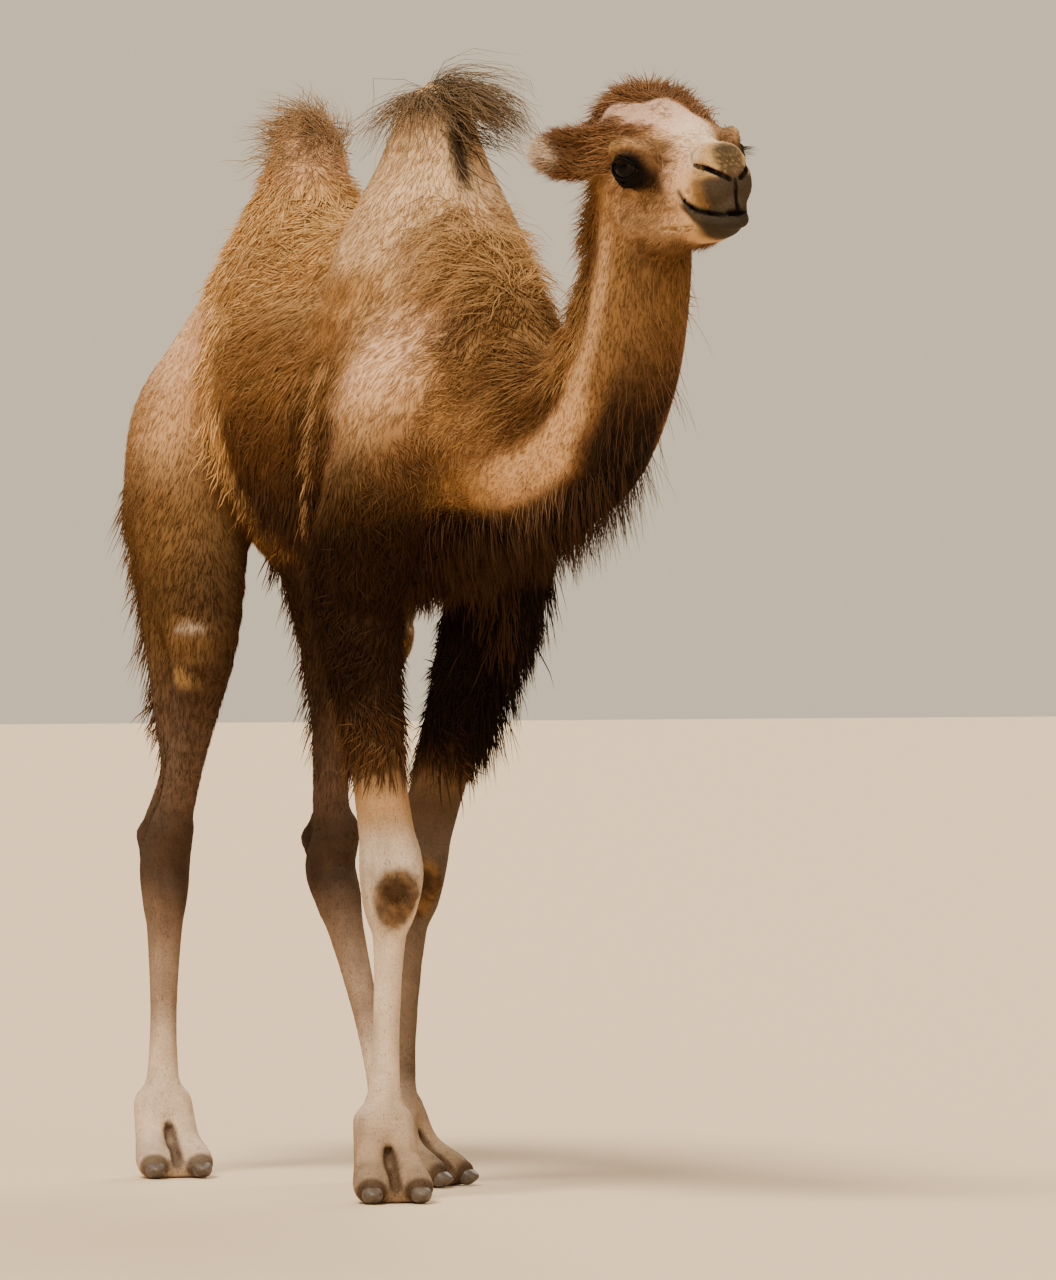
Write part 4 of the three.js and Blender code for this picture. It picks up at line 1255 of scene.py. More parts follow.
def lock_faces(rings):
    """The faces of one three-sided lock with that many rings and a tip, and each corner's place on it."""
    faces, places, corners = [0, 2, 1], [(0, 0), (1, 0), (0.5, 0)], [3]
    for r in range(rings - 1):
        for k in range(3):
            a, b = r * 3 + k, r * 3 + (k + 1) % 3
            faces += [a, b, b + 3, a + 3]
            places += [(k / 3, r / rings), ((k + 1) / 3, r / rings), ((k + 1) / 3, (r + 1) / rings),
                       (k / 3, (r + 1) / rings)]
            corners.append(4)
    top = (rings - 1) * 3
    for k in range(3):
        faces += [top + k, top + (k + 1) % 3, rings * 3]
        places += [(k / 3, 1 - 1 / rings), ((k + 1) / 3, 1 - 1 / rings), ((k + 0.5) / 3, 1)]
        corners.append(3)
    return np.array(faces, np.int32), np.array(places, np.float32), np.array(corners, np.int32)


def grow_locks(kind, roots, rng):
    """Points and colours of locks: roots is a dict of arrays, one row to a lock, and of single settings."""
    roots = {**LOCK_SETTINGS, **roots}
    profile = SHAPES[kind]
    steps = len(profile) - 1
    at, normal, n = roots["at"], unit(roots["normal"]), len(roots["at"])
    lie = roots["lie"] - (roots["lie"] * normal).sum(1)[:, None] * normal
    lie = unit(np.where(length(lie)[:, None] < 0.1, np.cross(normal, vec(1, 0.1, 0)), lie))
    wave = roots["wave"]
    swing = wave * (1.0 * noise(at, 70, 21) + 0.8 * noise(at, 24, 22)) + (0.1 + 0.3 * wave) * rng.normal(size=n)
    lie = turned(lie, normal, swing.astype(np.float32))
    lift = np.radians(roots["lift"] * (1 + 0.35 * noise(at, 30, 23) + 0.25 * rng.normal(size=n)))
    heading = unit(lie * np.cos(lift)[:, None] + normal * np.sin(lift)[:, None]).astype(np.float32)
    long = roots["long"] * (1 + roots["vary"] * rng.normal(size=n)).clip(0.4, 1.7)
    pull = unit(roots.get("pull", lie - 0.12 * normal)).astype(np.float32)
    gather, cell = clumped(at, roots["cell"], 31)
    own = hashed(np.stack([cell, cell * 7, cell * 3], -1), 5) - 0.5
    tone = 1 + roots["fleck"] * (0.14 * noise(at, 34, 24) + 0.14 * own + 0.09 * rng.normal(size=n))
    phase, spin = rng.random(n) * 6.28, 2.2 + 1.6 * rng.random(n)
    place = at - normal * roots["sink"]
    lines, points = [place], []
    for k in range(steps):
        side = np.cross(normal, heading)
        curl = np.sin(phase + spin * k) * wave * roots["crimp"]
        heading = unit(heading + pull * roots["bend"] + side * curl[:, None])
        place = place + heading * (long / steps)[:, None]
        lines.append(place + gather * (roots["clump"] * ((k + 1) / steps) ** 1.2)[:, None])
    for line in lines:
        line[:, 0] = line[:, 0].clip(-roots["reach"], roots["reach"])
        line[:, 2] = line[:, 2].clip(LOCK_FLOOR, roots["top"])
    for k, share in enumerate(profile[:-1]):
        run = unit(lines[k + 1] - lines[max(k - 1, 0)])
        across = unit(np.cross(run, normal))
        up = np.cross(across, run)
        half = (roots["wide"] * share * 0.5)[:, None]
        points += [lines[k] - across * half, lines[k] + up * half * 0.7, lines[k] + across * half]
    points.append(lines[-1])
    points = [np.concatenate([at[:, :2], at[:, 2:].clip(SOLE, None)], 1) for at in points]
    levels = np.repeat(np.arange(steps), 3).tolist() + [steps]
    dark, light = roots["root_tone"], roots["tip_tone"]
    shades = dark + (light - dark) * (np.array(levels) / steps) ** 0.8
    colours = roots["colour"][:, None, :] * tone.clip(0.5, 1.6)[:, None, None] * shades[None, :, None]
    return np.stack(points, 1).astype(np.float32), colours.astype(np.float32)


def join_locks(name, kind, points, colours, uv, material):
    """One piece of many locks, with the coat's two maps: the bake's patches, and the run of the hairs."""
    rings = len(SHAPES[kind]) - 1
    faces, places, corners = lock_faces(rings)
    n, each = len(points), rings * 3 + 1
    all_faces = (faces[None] + each * np.arange(n)[:, None]).ravel()
    piece = new_piece(name, points.reshape(-1, 3), all_faces, np.tile(corners, n), material)
    me = piece.data
    write_colours(me, colours.reshape(-1, 3))
    bake = uv[:, None, :] + PATCH * (places[None] - 0.5)
    me.uv_layers.new(name="OFBake").data.foreach_set("uv", np.clip(bake, 0, 1).astype(np.float32).ravel())
    hair = np.tile(places, (n, 1)) * vec(3, 1)
    hair[:, 0] += np.repeat(np.arange(n) % 97, len(places)) * 1.37
    me.uv_layers.new(name="Hair").data.foreach_set("uv", hair.astype(np.float32).ravel())
    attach(piece, "root")
    return piece


def dress(name, kind, roots, uv, material, rng):
    """Locks on all the roots, in as many pieces as the triangle limit asks for, from nose to tail."""
    points, colours = grow_locks(kind, roots, rng)
    triangles = 6 * (len(SHAPES[kind]) - 1) - 2
    pieces = max(1, math.ceil(len(points) / (MOST_TRIANGLES // triangles)))
    order = np.argsort(roots["at"][:, 1], kind="stable")
    for i, rows in enumerate(np.array_split(order, pieces)):
        numbered = f"{name}_{i + 1}" if pieces > 1 else name
        join_locks(numbered, kind, points[rows], colours[rows], uv[rows], material)


# ---------------------------------------------------------------- materials
def node(tree, kind, inputs=(), **settings):
    """A node with its settings made, and its inputs set to a value or joined to another node's output."""
    made = tree.nodes.new(kind)
    for key, value in settings.items():
        setattr(made, key, value)
    for key, value in inputs:
        if isinstance(value, bpy.types.NodeSocket):
            tree.links.new(value, made.inputs[key])
        else:
            made.inputs[key].default_value = value
    return made


def new_material(name, **values):
    """A Principled material; each value goes to the input of that name, with _ for a space."""
    material = bpy.data.materials.new(name)
    material.use_nodes = True
    tree = material.node_tree
    shader = tree.nodes["Principled BSDF"]
    for key, value in values.items():
        shader.inputs[key.replace("_", " ")].default_value = value
    return material, tree, shader


def marked(tree, shader, grain, darkest, lightest):
    """The markings as the colour, made darker and lighter by the grain."""
    marking = node(tree, "ShaderNodeAttribute", attribute_name="Marking")
    shade = node(tree, "ShaderNodeMapRange", [("Value", grain), ("From Min", 0.3), ("From Max", 0.7),
                                              ("To Min", darkest), ("To Max", lightest)])
    tinted = node(tree, "ShaderNodeVectorMath", [(0, marking.outputs["Color"])], operation="SCALE")
    tree.links.new(shade.outputs["Result"], tinted.inputs["Scale"])
    tree.links.new(tinted.outputs["Vector"], shader.inputs["Base Color"])


def roughened(tree, shader, height, strength):
    bump = node(tree, "ShaderNodeBump", [("Strength", strength), ("Distance", 0.001), ("Height", height)])
    tree.links.new(bump.outputs["Normal"], shader.inputs["Normal"])


def coat_material():
    """Locks: the marking on each, streaked along the run of the hairs."""
    material, tree, shader = new_material("Coat", Roughness=0.75, Specular_IOR_Level=0.04)
    hair = node(tree, "ShaderNodeUVMap", uv_map="Hair")
    run = node(tree, "ShaderNodeMapping", [("Vector", hair.outputs["UV"]), ("Scale", (5.0, 0.7, 1.0))])
    streak = node(tree, "ShaderNodeTexNoise", [("Vector", run.outputs["Vector"]), ("Scale", 2.2),
                                               ("Detail", 2.0)])
    marked(tree, shader, streak.outputs["Fac"], 0.8, 1.18)
    roughened(tree, shader, streak.outputs["Fac"], 0.5)
    return material


def skin_material():
    """Skin: the same markings, with the grain of flat hair and fine creases."""
    material, tree, shader = new_material("Skin", Roughness=0.75, Specular_IOR_Level=0.06)
    place = node(tree, "ShaderNodeTexCoord").outputs["Object"]
    grain = node(tree, "ShaderNodeTexNoise", [("Vector", place), ("Scale", 420.0), ("Detail", 3.0)])
    crease = node(tree, "ShaderNodeTexNoise", [("Vector", place), ("Scale", 90.0), ("Detail", 4.0)])
    height = node(tree, "ShaderNodeMath", [(0, grain.outputs["Fac"]), (1, crease.outputs["Fac"])],
                  operation="ADD")
    marked(tree, shader, grain.outputs["Fac"], 0.78, 1.15)
    roughened(tree, shader, height.outputs["Value"], 0.45)
    return material


def eye_material():
    """A dark brown eye under a wet front."""
    material, tree, shader = new_material("Eye", Roughness=0.16, Specular_IOR_Level=0.1)
    marking = node(tree, "ShaderNodeAttribute", attribute_name="Marking")
    tree.links.new(marking.outputs["Color"], shader.inputs["Base Color"])
    return material


def nail_material():
    """Mottled grey-brown horn."""
    material, tree, shader = new_material("Nail", Roughness=0.48, Specular_IOR_Level=0.4)
    place = node(tree, "ShaderNodeTexCoord").outputs["Object"]
    mottling = node(tree, "ShaderNodeTexNoise", [("Vector", place), ("Scale", 160.0), ("Detail", 3.0)])
    horn = node(tree, "ShaderNodeValToRGB", [("Fac", mottling.outputs["Fac"])])
    horn.color_ramp.elements[0].color = (*paint(44, 37, 32), 1)
    horn.color_ramp.elements[1].color = (*paint(112, 98, 84), 1)
    tree.links.new(horn.outputs["Color"], shader.inputs["Base Color"])
    return material


# ---------------------------------------------------------------- eyes, lids and nails
def ball_mesh(around, along):
    """A unit ball's points and faces, its poles on X."""
    rows = np.linspace(0, math.pi, along + 1)[1:-1]
    turns = np.arange(around) * 2 * math.pi / around
    points = [(math.cos(a), math.sin(a) * math.cos(t), math.sin(a) * math.sin(t)) for a in rows for t in turns]
    points += [(1, 0, 0), (-1, 0, 0)]
    faces, corners = [], []
    for r in range(len(rows) - 1):
        for k in range(around):
            a, b = r * around + k, r * around + (k + 1) % around
            faces += [a, a + around, b + around, b]
            corners.append(4)
    last = (len(rows) - 1) * around
    for k in range(around):
        nxt = (k + 1) % around
        faces += [len(points) - 2, k, nxt, len(points) - 1, last + nxt, last + k]
        corners += [3, 3]
    return np.array(points, np.float32), faces, corners


def eye_axes(side):
    """Out, along and up from an eye, in the camel's own axes."""
    flip = vec(1, side, 1)
    return [(axis * flip) @ HEAD_AXES for axis in (EYE_OUT, EYE_ALONG, EYE_UP)]


def eye_centre(side):
    forward, sideways, up = EYE_PLACE
    return vec(*on_head(forward, side * sideways, up))


def make_eye(name, side, material):
    """An eyeball with a slightly raised, wet front."""
    points, faces, corners = ball_mesh(40, 26)
    out, along, up = eye_axes(side)
    shaped = points * EYE_RADIUS
    bulge = fall(length(points[:, 1:]), 0.3, 0.62)
    shaped[:, 0] += 0.8 * bulge * (points[:, 0] > 0)
    world = eye_centre(side) + shaped[:, :1] * out + shaped[:, 1:2] * along + shaped[:, 2:] * up
    piece = new_piece(name, world, faces, corners, material)
    middle = length(points[:, 1:] * vec(1, 1.5))
    front = points[:, 0] > 0
    iris = fade(paint(13, 9, 7), SOOT * 0.1, fall(middle, 0.34, 0.44))
    white = ramp(length(points[:, 1:]), 0.74, 0.84)
    colour = mix(iris, paint(18, 14, 12), np.where(front, white, 1))
    write_colours(piece.data, colour)
    return piece


def lid_line(side, lid, count, radius):
    """Points along one lid's edge, on a ball round the eye, and the eye's ways out and up."""
    out, along, up = eye_axes(side)
    a = np.linspace(-1, 1, count) * LID["half"] * 0.995
    high, low = lid_edges(a)
    b = high if lid == "upper" else low
    c = np.sqrt(np.maximum(radius ** 2 - a ** 2 - b ** 2, 1))
    return eye_centre(side) + a[:, None] * along + b[:, None] * up + c[:, None] * out, out, up


def tube_mesh(line, radii, sides=8):
    """A round tube along a line of points."""
    run = unit(np.gradient(line, axis=0))
    across = unit(np.cross(run, vec(0.3, 0.2, 1)))
    rise = np.cross(across, run)
    turns = np.arange(sides) * 2 * math.pi / sides
    ring = across[:, None] * np.cos(turns)[None, :, None] + rise[:, None] * np.sin(turns)[None, :, None]
    points = line[:, None] + ring * np.asarray(radii)[:, None, None]
    faces, corners = [], []
    for r in range(len(line) - 1):
        for k in range(sides):
            a, b = r * sides + k, r * sides + (k + 1) % sides
            faces += [a, b, b + sides, a + sides]
            corners.append(4)
    faces += list(range(sides))[::-1] + [(len(line) - 1) * sides + k for k in range(sides)]
    corners += [sides, sides]
    return points.reshape(-1, 3), faces, corners


def make_nail(name, leg, sideways, material):
    """A nail over the end of one toe: a blunt hoof-like cap, longer than it is high."""
    points, faces, corners = ball_mesh(28, 18)
    ahead, across = foot_frame(leg["turn"])
    centre = vec(*foot_point(leg, NAIL_SIZE["ahead"] - 1, sideways * NAIL_SIZE["apart"], NAIL_SIZE["height"]))
    shaped = np.sign(points) * np.abs(points) ** 0.9
    shaped = shaped * vec(NAIL_SIZE["long"], NAIL_SIZE["wide"], NAIL_SIZE["high"])
    shaped[:, 2] *= 1 - 0.5 * ramp(shaped[:, 0], -2, NAIL_SIZE["long"])
    shaped[:, 1] *= 1 - 0.22 * ramp(shaped[:, 0], 0, NAIL_SIZE["long"])
    world = centre + shaped[:, :1] * vec(*ahead) + shaped[:, 1:2] * vec(*across) + shaped[:, 2:] * vec(0, 0, 1)
    world[:, 2] = np.maximum(world[:, 2], SOLE)
    return new_piece(name, world, faces, corners, material)


# ---------------------------------------------------------------- settings
class SkinSettings(bpy.types.PropertyGroup):
    """The skin's mesh."""
    voxel: bpy.props.FloatProperty(
        name="Mesh size", description="Size of the skin's faces on the body, in millimetres",
        default=10.0, min=5.0, max=30.0)


class CoatSettings(bpy.types.PropertyGroup):
    """The coat's locks."""
    amount: bpy.props.FloatProperty(
        name="Amount", description="Share of the full number of locks", default=1.0, min=0.01, max=1.5,
        subtype="FACTOR")
    seed: bpy.props.IntProperty(name="Seed", description="Start of the coat's random numbers", default=7, min=0)


class StageSettings(bpy.types.PropertyGroup):
    """The floor, lights and camera."""
    floor: bpy.props.FloatVectorProperty(
        name="Floor", description="Colour of the floor", subtype="COLOR", default=(0.78, 0.6, 0.4), min=0, max=1)
    key_power: bpy.props.FloatProperty(
        name="Key light", description="Strength of the main lamp", default=4.4, min=0)
    lens: bpy.props.FloatProperty(
        name="Lens", description="Focal length of the camera, in millimetres", default=352.84, min=10, max=1000)


# ---------------------------------------------------------------- operators
FLESH = ("trunk", "hump_front", "hump_rear", "neck", "head", "tail", "ear_left", "ear_right", "leg_front_left",
         "leg_front_right", "leg_hind_left", "leg_hind_right")


class CAMEL_OT_skin(bpy.types.Operator):
    """Make the one skin that stands for all the camel's flesh"""
    bl_idname = "camel.skin"
    bl_label = "Make the skin"

    def execute(self, context):
        points, faces, corners = make_skin(context.scene.camel_skin.voxel)
        piece = new_piece("Skin", points, faces, corners, skin_material())
        write_colours(piece.data, coat_numbers(points)["colour"])
        unwrap(piece)
        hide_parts(*FLESH)
        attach(piece, "root")
        return {"FINISHED"}


class CAMEL_OT_eyes(bpy.types.Operator):
    """Make the eyes, the rims of their lids and the lashes"""
    bl_idname = "camel.eyes"
    bl_label = "Make the eyes"

    def execute(self, context):
        wet = eye_material()
        rim = new_material("Lid rim", Roughness=0.75, Specular_IOR_Level=0.1, Base_Color=(*(SOOT * 0.3), 1))[0]
        for name, side in SIDES.items():
            piece = make_eye(f"Eye_{name}", side, wet)
            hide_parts(f"eye_{name}")
            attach(piece, "root")
            for lid in ("upper", "lower"):
                line, _, _ = lid_line(side, lid, RIM_POINTS, EYE_RADIUS + 1.6)
                radii = 2.2 - 1.0 * np.abs(np.linspace(-1, 1, RIM_POINTS)) ** 3
                points, faces, corners = tube_mesh(line, radii)
                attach(new_piece(f"Lid_rim_{lid}_{name}", points, faces, corners, rim), "root")
            self.lashes(name, side)
        return {"FINISHED"}

    def lashes(self, name, side):
        """Dark lashes along the edge of the upper lid."""
        rng = np.random.default_rng(41)
        n = LASHES
        line, out, up = lid_line(side, "upper", n, EYE_RADIUS + 2.4)
        spread = np.linspace(-0.5, 0.5, n)[:, None]
        along = eye_axes(side)[1]
        way = unit(out + 0.12 * up + spread * along + 0.12 * rng.normal(size=(n, 3)))
        rows = {"long": 17.0, "wide": 0.9, "lift": -16.0, "wave": 0.05, "clump": 0.15}
        roots = {"at": line, "normal": np.tile(up, (n, 1)), "lie": way, "pull": np.tile(out - 0.4 * up, (n, 1)),
                 "colour": np.tile(mix(SOOT, TAN, 0.05), (n, 1)), "bend": 0.2, "cell": 6.0, "root_tone": 0.9,
                 "tip_tone": 1.4, **{key: np.full(n, value) for key, value in rows.items()}}
        dress(f"Lashes_{name}", "wool", roots, np.full((n, 2), 0.5, np.float32), coat_of(), rng)


class CAMEL_OT_nails(bpy.types.Operator):
    """Make the two nails of each foot"""
    bl_idname = "camel.nails"
    bl_label = "Make the nails"

    def execute(self, context):
        horn = nail_material()
        for end, legs in (("front", FORE), ("hind", HIND)):
            for side, leg in legs.items():
                for sideways, place in ((1, "left"), (-1, "right")):
                    piece = make_nail(f"Nail_{end}_{side}_{place}", leg, sideways, horn)
                    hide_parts(f"toenail_{end}_{side}_{place}")
                    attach(piece, "root")
        return {"FINISHED"}


def coat_of():
    """The coat's material, made when it is first asked for."""
    return bpy.data.materials.get("Coat") or coat_material()


def rooted(skin, numbers, density, rng):
    """Roots with all the coat's numbers, where density asks for them."""
    read, uv = scatter(skin, density, rng)
    roots = {key: read(value) for key, value in numbers.items()}
    return {**roots, "at": read(skin["at"]), "normal": read(skin["normals"])}, uv


def grow_coat(settings, name, kind, later, **fixed):
    """Locks of one kind, as many as the coat's numbers ask for, with their own run of random numbers."""
    rng = np.random.default_rng(settings.seed + later)
    skin = read_skin()
    numbers = coat_numbers(skin["at"])
    roots, uv = rooted(skin, numbers, numbers[kind] * settings.amount, rng)
    dress(name, kind, {**roots, **fixed}, uv, coat_of(), rng)


class CAMEL_OT_wool(bpy.types.Operator):
    """Grow the wool of the flanks, humps, shoulders, neck and upper legs"""
    bl_idname = "camel.wool"
    bl_label = "Grow the wool"

    def execute(self, context):
        grow_coat(context.scene.camel_coat, "Wool", "wool", 0, root_tone=0.86, tip_tone=1.1)
        return {"FINISHED"}


class CAMEL_OT_short(bpy.types.Operator):
    """Grow the short hair of the face, haunches, shins and feet"""
    bl_idname = "camel.short_hair"
    bl_label = "Grow the short hair"

    def execute(self, context):
        grow_coat(context.scene.camel_coat, "Short_hair", "short", 1, root_tone=0.92, tip_tone=1.08, sink=0.3,
                  bend=0.0, fleck=0.2)
        return {"FINISHED"}


HAIR_TOP = 1694                     # the crests' hair stays below this height


def strands(p, density, colour, pull, long, wide, lift, wave, clump, **fixed):
    """One growth of long hair: locks per square centimetre, the numbers at each skin point, and the rest."""
    pull = unit(np.broadcast_to(np.asarray(pull, np.float32), p.shape))
    numbers = blank(p, pull, long, wide, lift, wave, clump, 0, 0)
    return density, {**numbers, "colour": everywhere(colour, p), "pull": pull}, fixed


def neck_hair(p, normal):
    """Dark hair hanging under the neck, and a little of it on the chest."""
    share, _, _, under_way = neck_way(p)
    on_neck = fall(np.abs(neck_form(p) + 8), 10, 26)
    under = ramp((normal * under_way).sum(1), 0.55, 0.9) * on_neck
    low = fall(share, 0.3, 0.5)
    chest = ramp(-normal[:, 2] - 0.4 * normal[:, 1], 0.3, 0.8) * fall(p[:, 1], -470, -380) \
        * ramp(p[:, 2], 820, 900) * fall(p[:, 2], 1010, 1060) * fall(np.abs(p[:, 0]), 70, 110)
    density = under * ramp(share, 0.1, 0.25) * (0.55 + 1.1 * low) * (1 - 0.4 * ramp(share, 0.9, 1)) + chest * 1.6
    colour = fade(DARK * 1.3, BROWN, ramp(share, 0.5, 0.75))
    return strands(p, density, colour, (0, -0.2, -1), 52, 1.2, 44, 0.8, 0.2, bend=0.28, cell=22.0, crimp=0.35,
                   root_tone=0.8, tip_tone=1.4, vary=0.45)


def hump_top(hump):
    return vec(0, hump["y"] + hump["lean"], hump["peak"])


def front_crest(p, normal):
    """A dark, wind-blown tuft on the front hump: most falls ahead and to the left, some back to the right."""
    top = hump_top(FRONT_HUMP)
    tip = spot(p, top - vec(0, 0, 8), (52, 56, 46), 0.3)
    ridge = fall(np.abs(p[:, 0]), 8, 20) * fall(p[:, 1], -400, -380) * ramp(p[:, 2], 1470, 1520) * 0.6
    across = ((p - top) * vec(0.9, -0.44, 0)).sum(1) + 14 * noise(p, 12, 50)
    back = fall(across, -22, -8)
    strewn = np.stack([noise(p, 12, 51), noise(p, 12, 52), 0.6 * noise(p, 12, 69)], 1)
    pull = fade(vec(0.7, -0.45, -0.75), vec(-0.4, 0.3, -1.1), back) + 0.6 * strewn
    colour = fade(SOOT * 0.8, CROWN * 0.8, 0.9 * back * ramp(noise(p, 14, 53), -0.3, 0.4))
    long = 34 + mix(88, 46, back) * tip + 40 * (1 - tip)
    density = np.maximum(tip, ridge * (hump_forms[0](p) < 5)) * (1 - 0.5 * back) * 12.0
    return strands(p, density, colour, pull, long, 1.5, 56, 0.5, 0.9, bend=0.55, cell=22.0, crimp=2.4,
                   root_tone=0.85, tip_tone=1.15, vary=0.4, reach=104, top=HAIR_TOP)


def rear_crest(p, normal):
    """A brown, tousled tuft on the rear hump."""
    top = hump_top(REAR_HUMP)
    close = spot(p, top - vec(0, 0, 20), (74, 80, 74), 0.4)
    strewn = np.stack([noise(p, 14, 55), noise(p, 14, 56), 0.5 * noise(p, 14, 70)], 1)
    pull = vec(-0.45, 0.35, -0.1) + 0.9 * strewn
    colour = fade(paint(150, 122, 82), paint(98, 74, 44), ramp(noise(p, 12, 54), -0.4, 0.4))
    bare = ramp(-p[:, 0], 0, 20) * ramp(p[:, 1], 0, 30) * fall(p[:, 2], 1540, 1560)
    return strands(p, close * (1 - 0.8 * bare) * 8.0, colour, pull, 60, 1.3, 50, 0.45, 0.35, bend=0.34,
                   cell=16.0, crimp=2.2, vary=0.4, root_tone=0.85, tip_tone=1.2, top=HAIR_TOP)


def loose_cord(p, normal):
    """A rope of shed wool hanging down the right flank."""
    rope = fall(cord(mirrored(p)), 2, 12) * (p[:, 0] < 0)
    sway = np.stack([0 * p[:, 0], 0.3 + 0.5 * noise(p, 14, 71), np.full(len(p), -1, np.float32)], 1)
    return strands(p, 7.0 * rope, mix(GOLD, BEIGE, 0.5), sway, 46, 1.6, 36, 0.4, 0.9, bend=0.4,
                   cell=16.0, crimp=1.2, root_tone=0.8, tip_tone=1.15)


def nape(p, normal):
    """Tangled wool down the back of the neck, filling the dip in front of the shoulders."""
    share, _, under, _ = neck_way(p)
    behind = fall(under, -0.55, -0.15) * (neck_form(p) < 0) * fall(share, 0.96, 1)
    withers = spot(p, (0, -560, 1350), (125, 130, 120), 0.4) * ramp(-normal[:, 1], 0.1, 0.5)
    behind = np.maximum(behind, withers)
    dip = behind * fall(share, 0.4, 0.52) * ramp(share, 0.2, 0.3)
    down = np.full(len(p), -0.5, np.float32)
    pull = np.stack([0.4 * noise(p, 20, 57), 0.55 + 0.5 * noise(p, 20, 58), down], 1)
    colour = fade(TAN, BROWN, ramp(noise(p, 24, 59), -0.4, 0.4))
    dip = np.maximum(dip, 0.6 * withers)
    colour = mix(colour, GOLD, 0.7 * withers)
    density = behind * np.maximum(withers, ramp(share, 0.2, 0.3)) * 2.9
    return strands(p, density, colour, pull, 44 + 22 * dip, 1.4, 42, 0.5, 0.4, bend=0.3, cell=20.0,
                   crimp=1.2, root_tone=0.9, tip_tone=1.12, vary=0.35)


def poll_hair(p, normal):
    """Tousled hair over the poll and between the ears."""
    q = in_head(p)
    forward, up = q[:, 0], q[:, 2]
    crown = crown_share(q) * (head_block(q) < 6) * (1 - 0.8 * ramp(forward, -60, -10) * (q[:, 1] < 0))
    behind = spot(mirrored(q, 1), (-84, 60, 44), (48, 40, 44), 0.5) * (head_block(q) < 6)
    behind = behind * (1 - bald_patch(q))
    crown = np.maximum(crown, behind)
    flip = np.sign(q[:, 1])
    lie = np.stack([-0.7 + 0.6 * noise(p, 16, 60), 0.6 * flip + 0.5 * noise(p, 16, 61), -0.1 + 0 * up], 1)
    colour = fade(CROWN * 1.2, CROWN * 0.75, ramp(noise(p, 20, 63), -0.4, 0.4))
    return strands(p, crown * 5.0, colour, lie @ HEAD_AXES, 29 + 20 * behind, 1.3, 38, 0.5, 0.25, bend=0.3,
                   cell=12.0, crimp=1.4, root_tone=0.85, tip_tone=1.2, vary=0.4)


def wool_rim(p, normal):
    """Long locks that end the flank's wool over the smooth haunch."""
    rim = fall(np.abs(past_wool(p) - 14 * noise(p, 45, 3) + 24), 14, 30) * ramp(p[:, 2], 880, 960)
    rim = rim * fall(p[:, 2], 1340, 1420) * ramp(np.abs(p[:, 0]), 40, 80)
    gold = ramp(p[:, 2], 940, 1120)
    return strands(p, rim * 3.2, fade(TAN, GOLD * 1.1, gold), (0, 0.55, -0.8), 50, 2.7, 24, 0.9, 0.8,
                   bend=0.2, cell=22.0, crimp=0.5, root_tone=0.85, tip_tone=1.2)


def belly(p, normal):
    """Dark hair hanging from the underside of the trunk."""
    under = ramp(-normal[:, 2], 0.25, 0.7) * ramp(p[:, 1], -400, -340) * fall(p[:, 1], 20, 90)
    return strands(p, under * (p[:, 2] > 780) * 2.6, DARK * 1.2, (0, 0.25, -1), 56, 2.8, 34, 0.7, 0.8, bend=0.3,
                   cell=24.0, root_tone=0.8, tip_tone=1.3)


def thigh_fringe(p, normal):
    """Brown hair hanging from the backs of the thighs."""
    thigh = np.minimum(hind_forms[0](p), hind_forms[1](p))
    behind = ramp(normal[:, 1], 0.25, 0.6) * ramp(p[:, 2], 620, 700) * fall(p[:, 2], 940, 1040) * (thigh < 0)
    return strands(p, behind * 2.4, mix(BROWN, DARK, 0.4), (0, 0.62, -0.8), 52, 2.5, 26, 0.7, 0.8,
                   bend=0.24, cell=22.0, root_tone=0.85, tip_tone=1.3, vary=0.3)


def forearm_fringe(p, normal):
    """Hanging hair on the forearms: black and long on the left one, shorter on the right."""
    left, right = (ramp(-form(p), 4, 8) for form in fore_forms)
    outer = ramp(normal[:, 0] - 0.7 * normal[:, 1], 0.0, 0.5) * ramp(p[:, 2], 640, 680) * fall(p[:, 2], 860, 940)
    rear = ramp(normal[:, 1], 0.2, 0.7) * ramp(p[:, 2], 610, 660) * fall(p[:, 2], 900, 1000)
    on_left = left * (p[:, 0] > 0)
    cuff = ramp(p[:, 2] + 22 * noise(p, 30, 65), 600, 640) * fall(p[:, 2], 690, 740) * (left + right)
    density = on_left * np.maximum(outer, rear) * 2.2 + right * (p[:, 0] < 0) * rear * 2.2 + 1.6 * cuff
    long = mix(48, 76, on_left * outer)
    colour = fade(DARK, SOOT * 1.1, on_left)
    colour = mix(colour, TAN, 0.6 * (right > 0.5) * rear * fall(p[:, 2], 700, 760))
    way = np.stack([0.18 * on_left * outer, np.full(len(p), 0.1), np.full(len(p), -1.0)], 1)
    return strands(p, density, colour, way, long, 2.5, 22, 0.6, 0.8, bend=0.3, cell=22.0,
                   root_tone=0.85, tip_tone=1.3)


LONG_HAIR = {"Neck_hair": neck_hair, "Nape": nape, "Poll_hair": poll_hair, "Front_crest": front_crest,
             "Rear_crest": rear_crest, "Wool_rim": wool_rim, "Loose_cord": loose_cord, "Belly": belly,
             "Thigh_fringe": thigh_fringe, "Forearm_fringe": forearm_fringe}


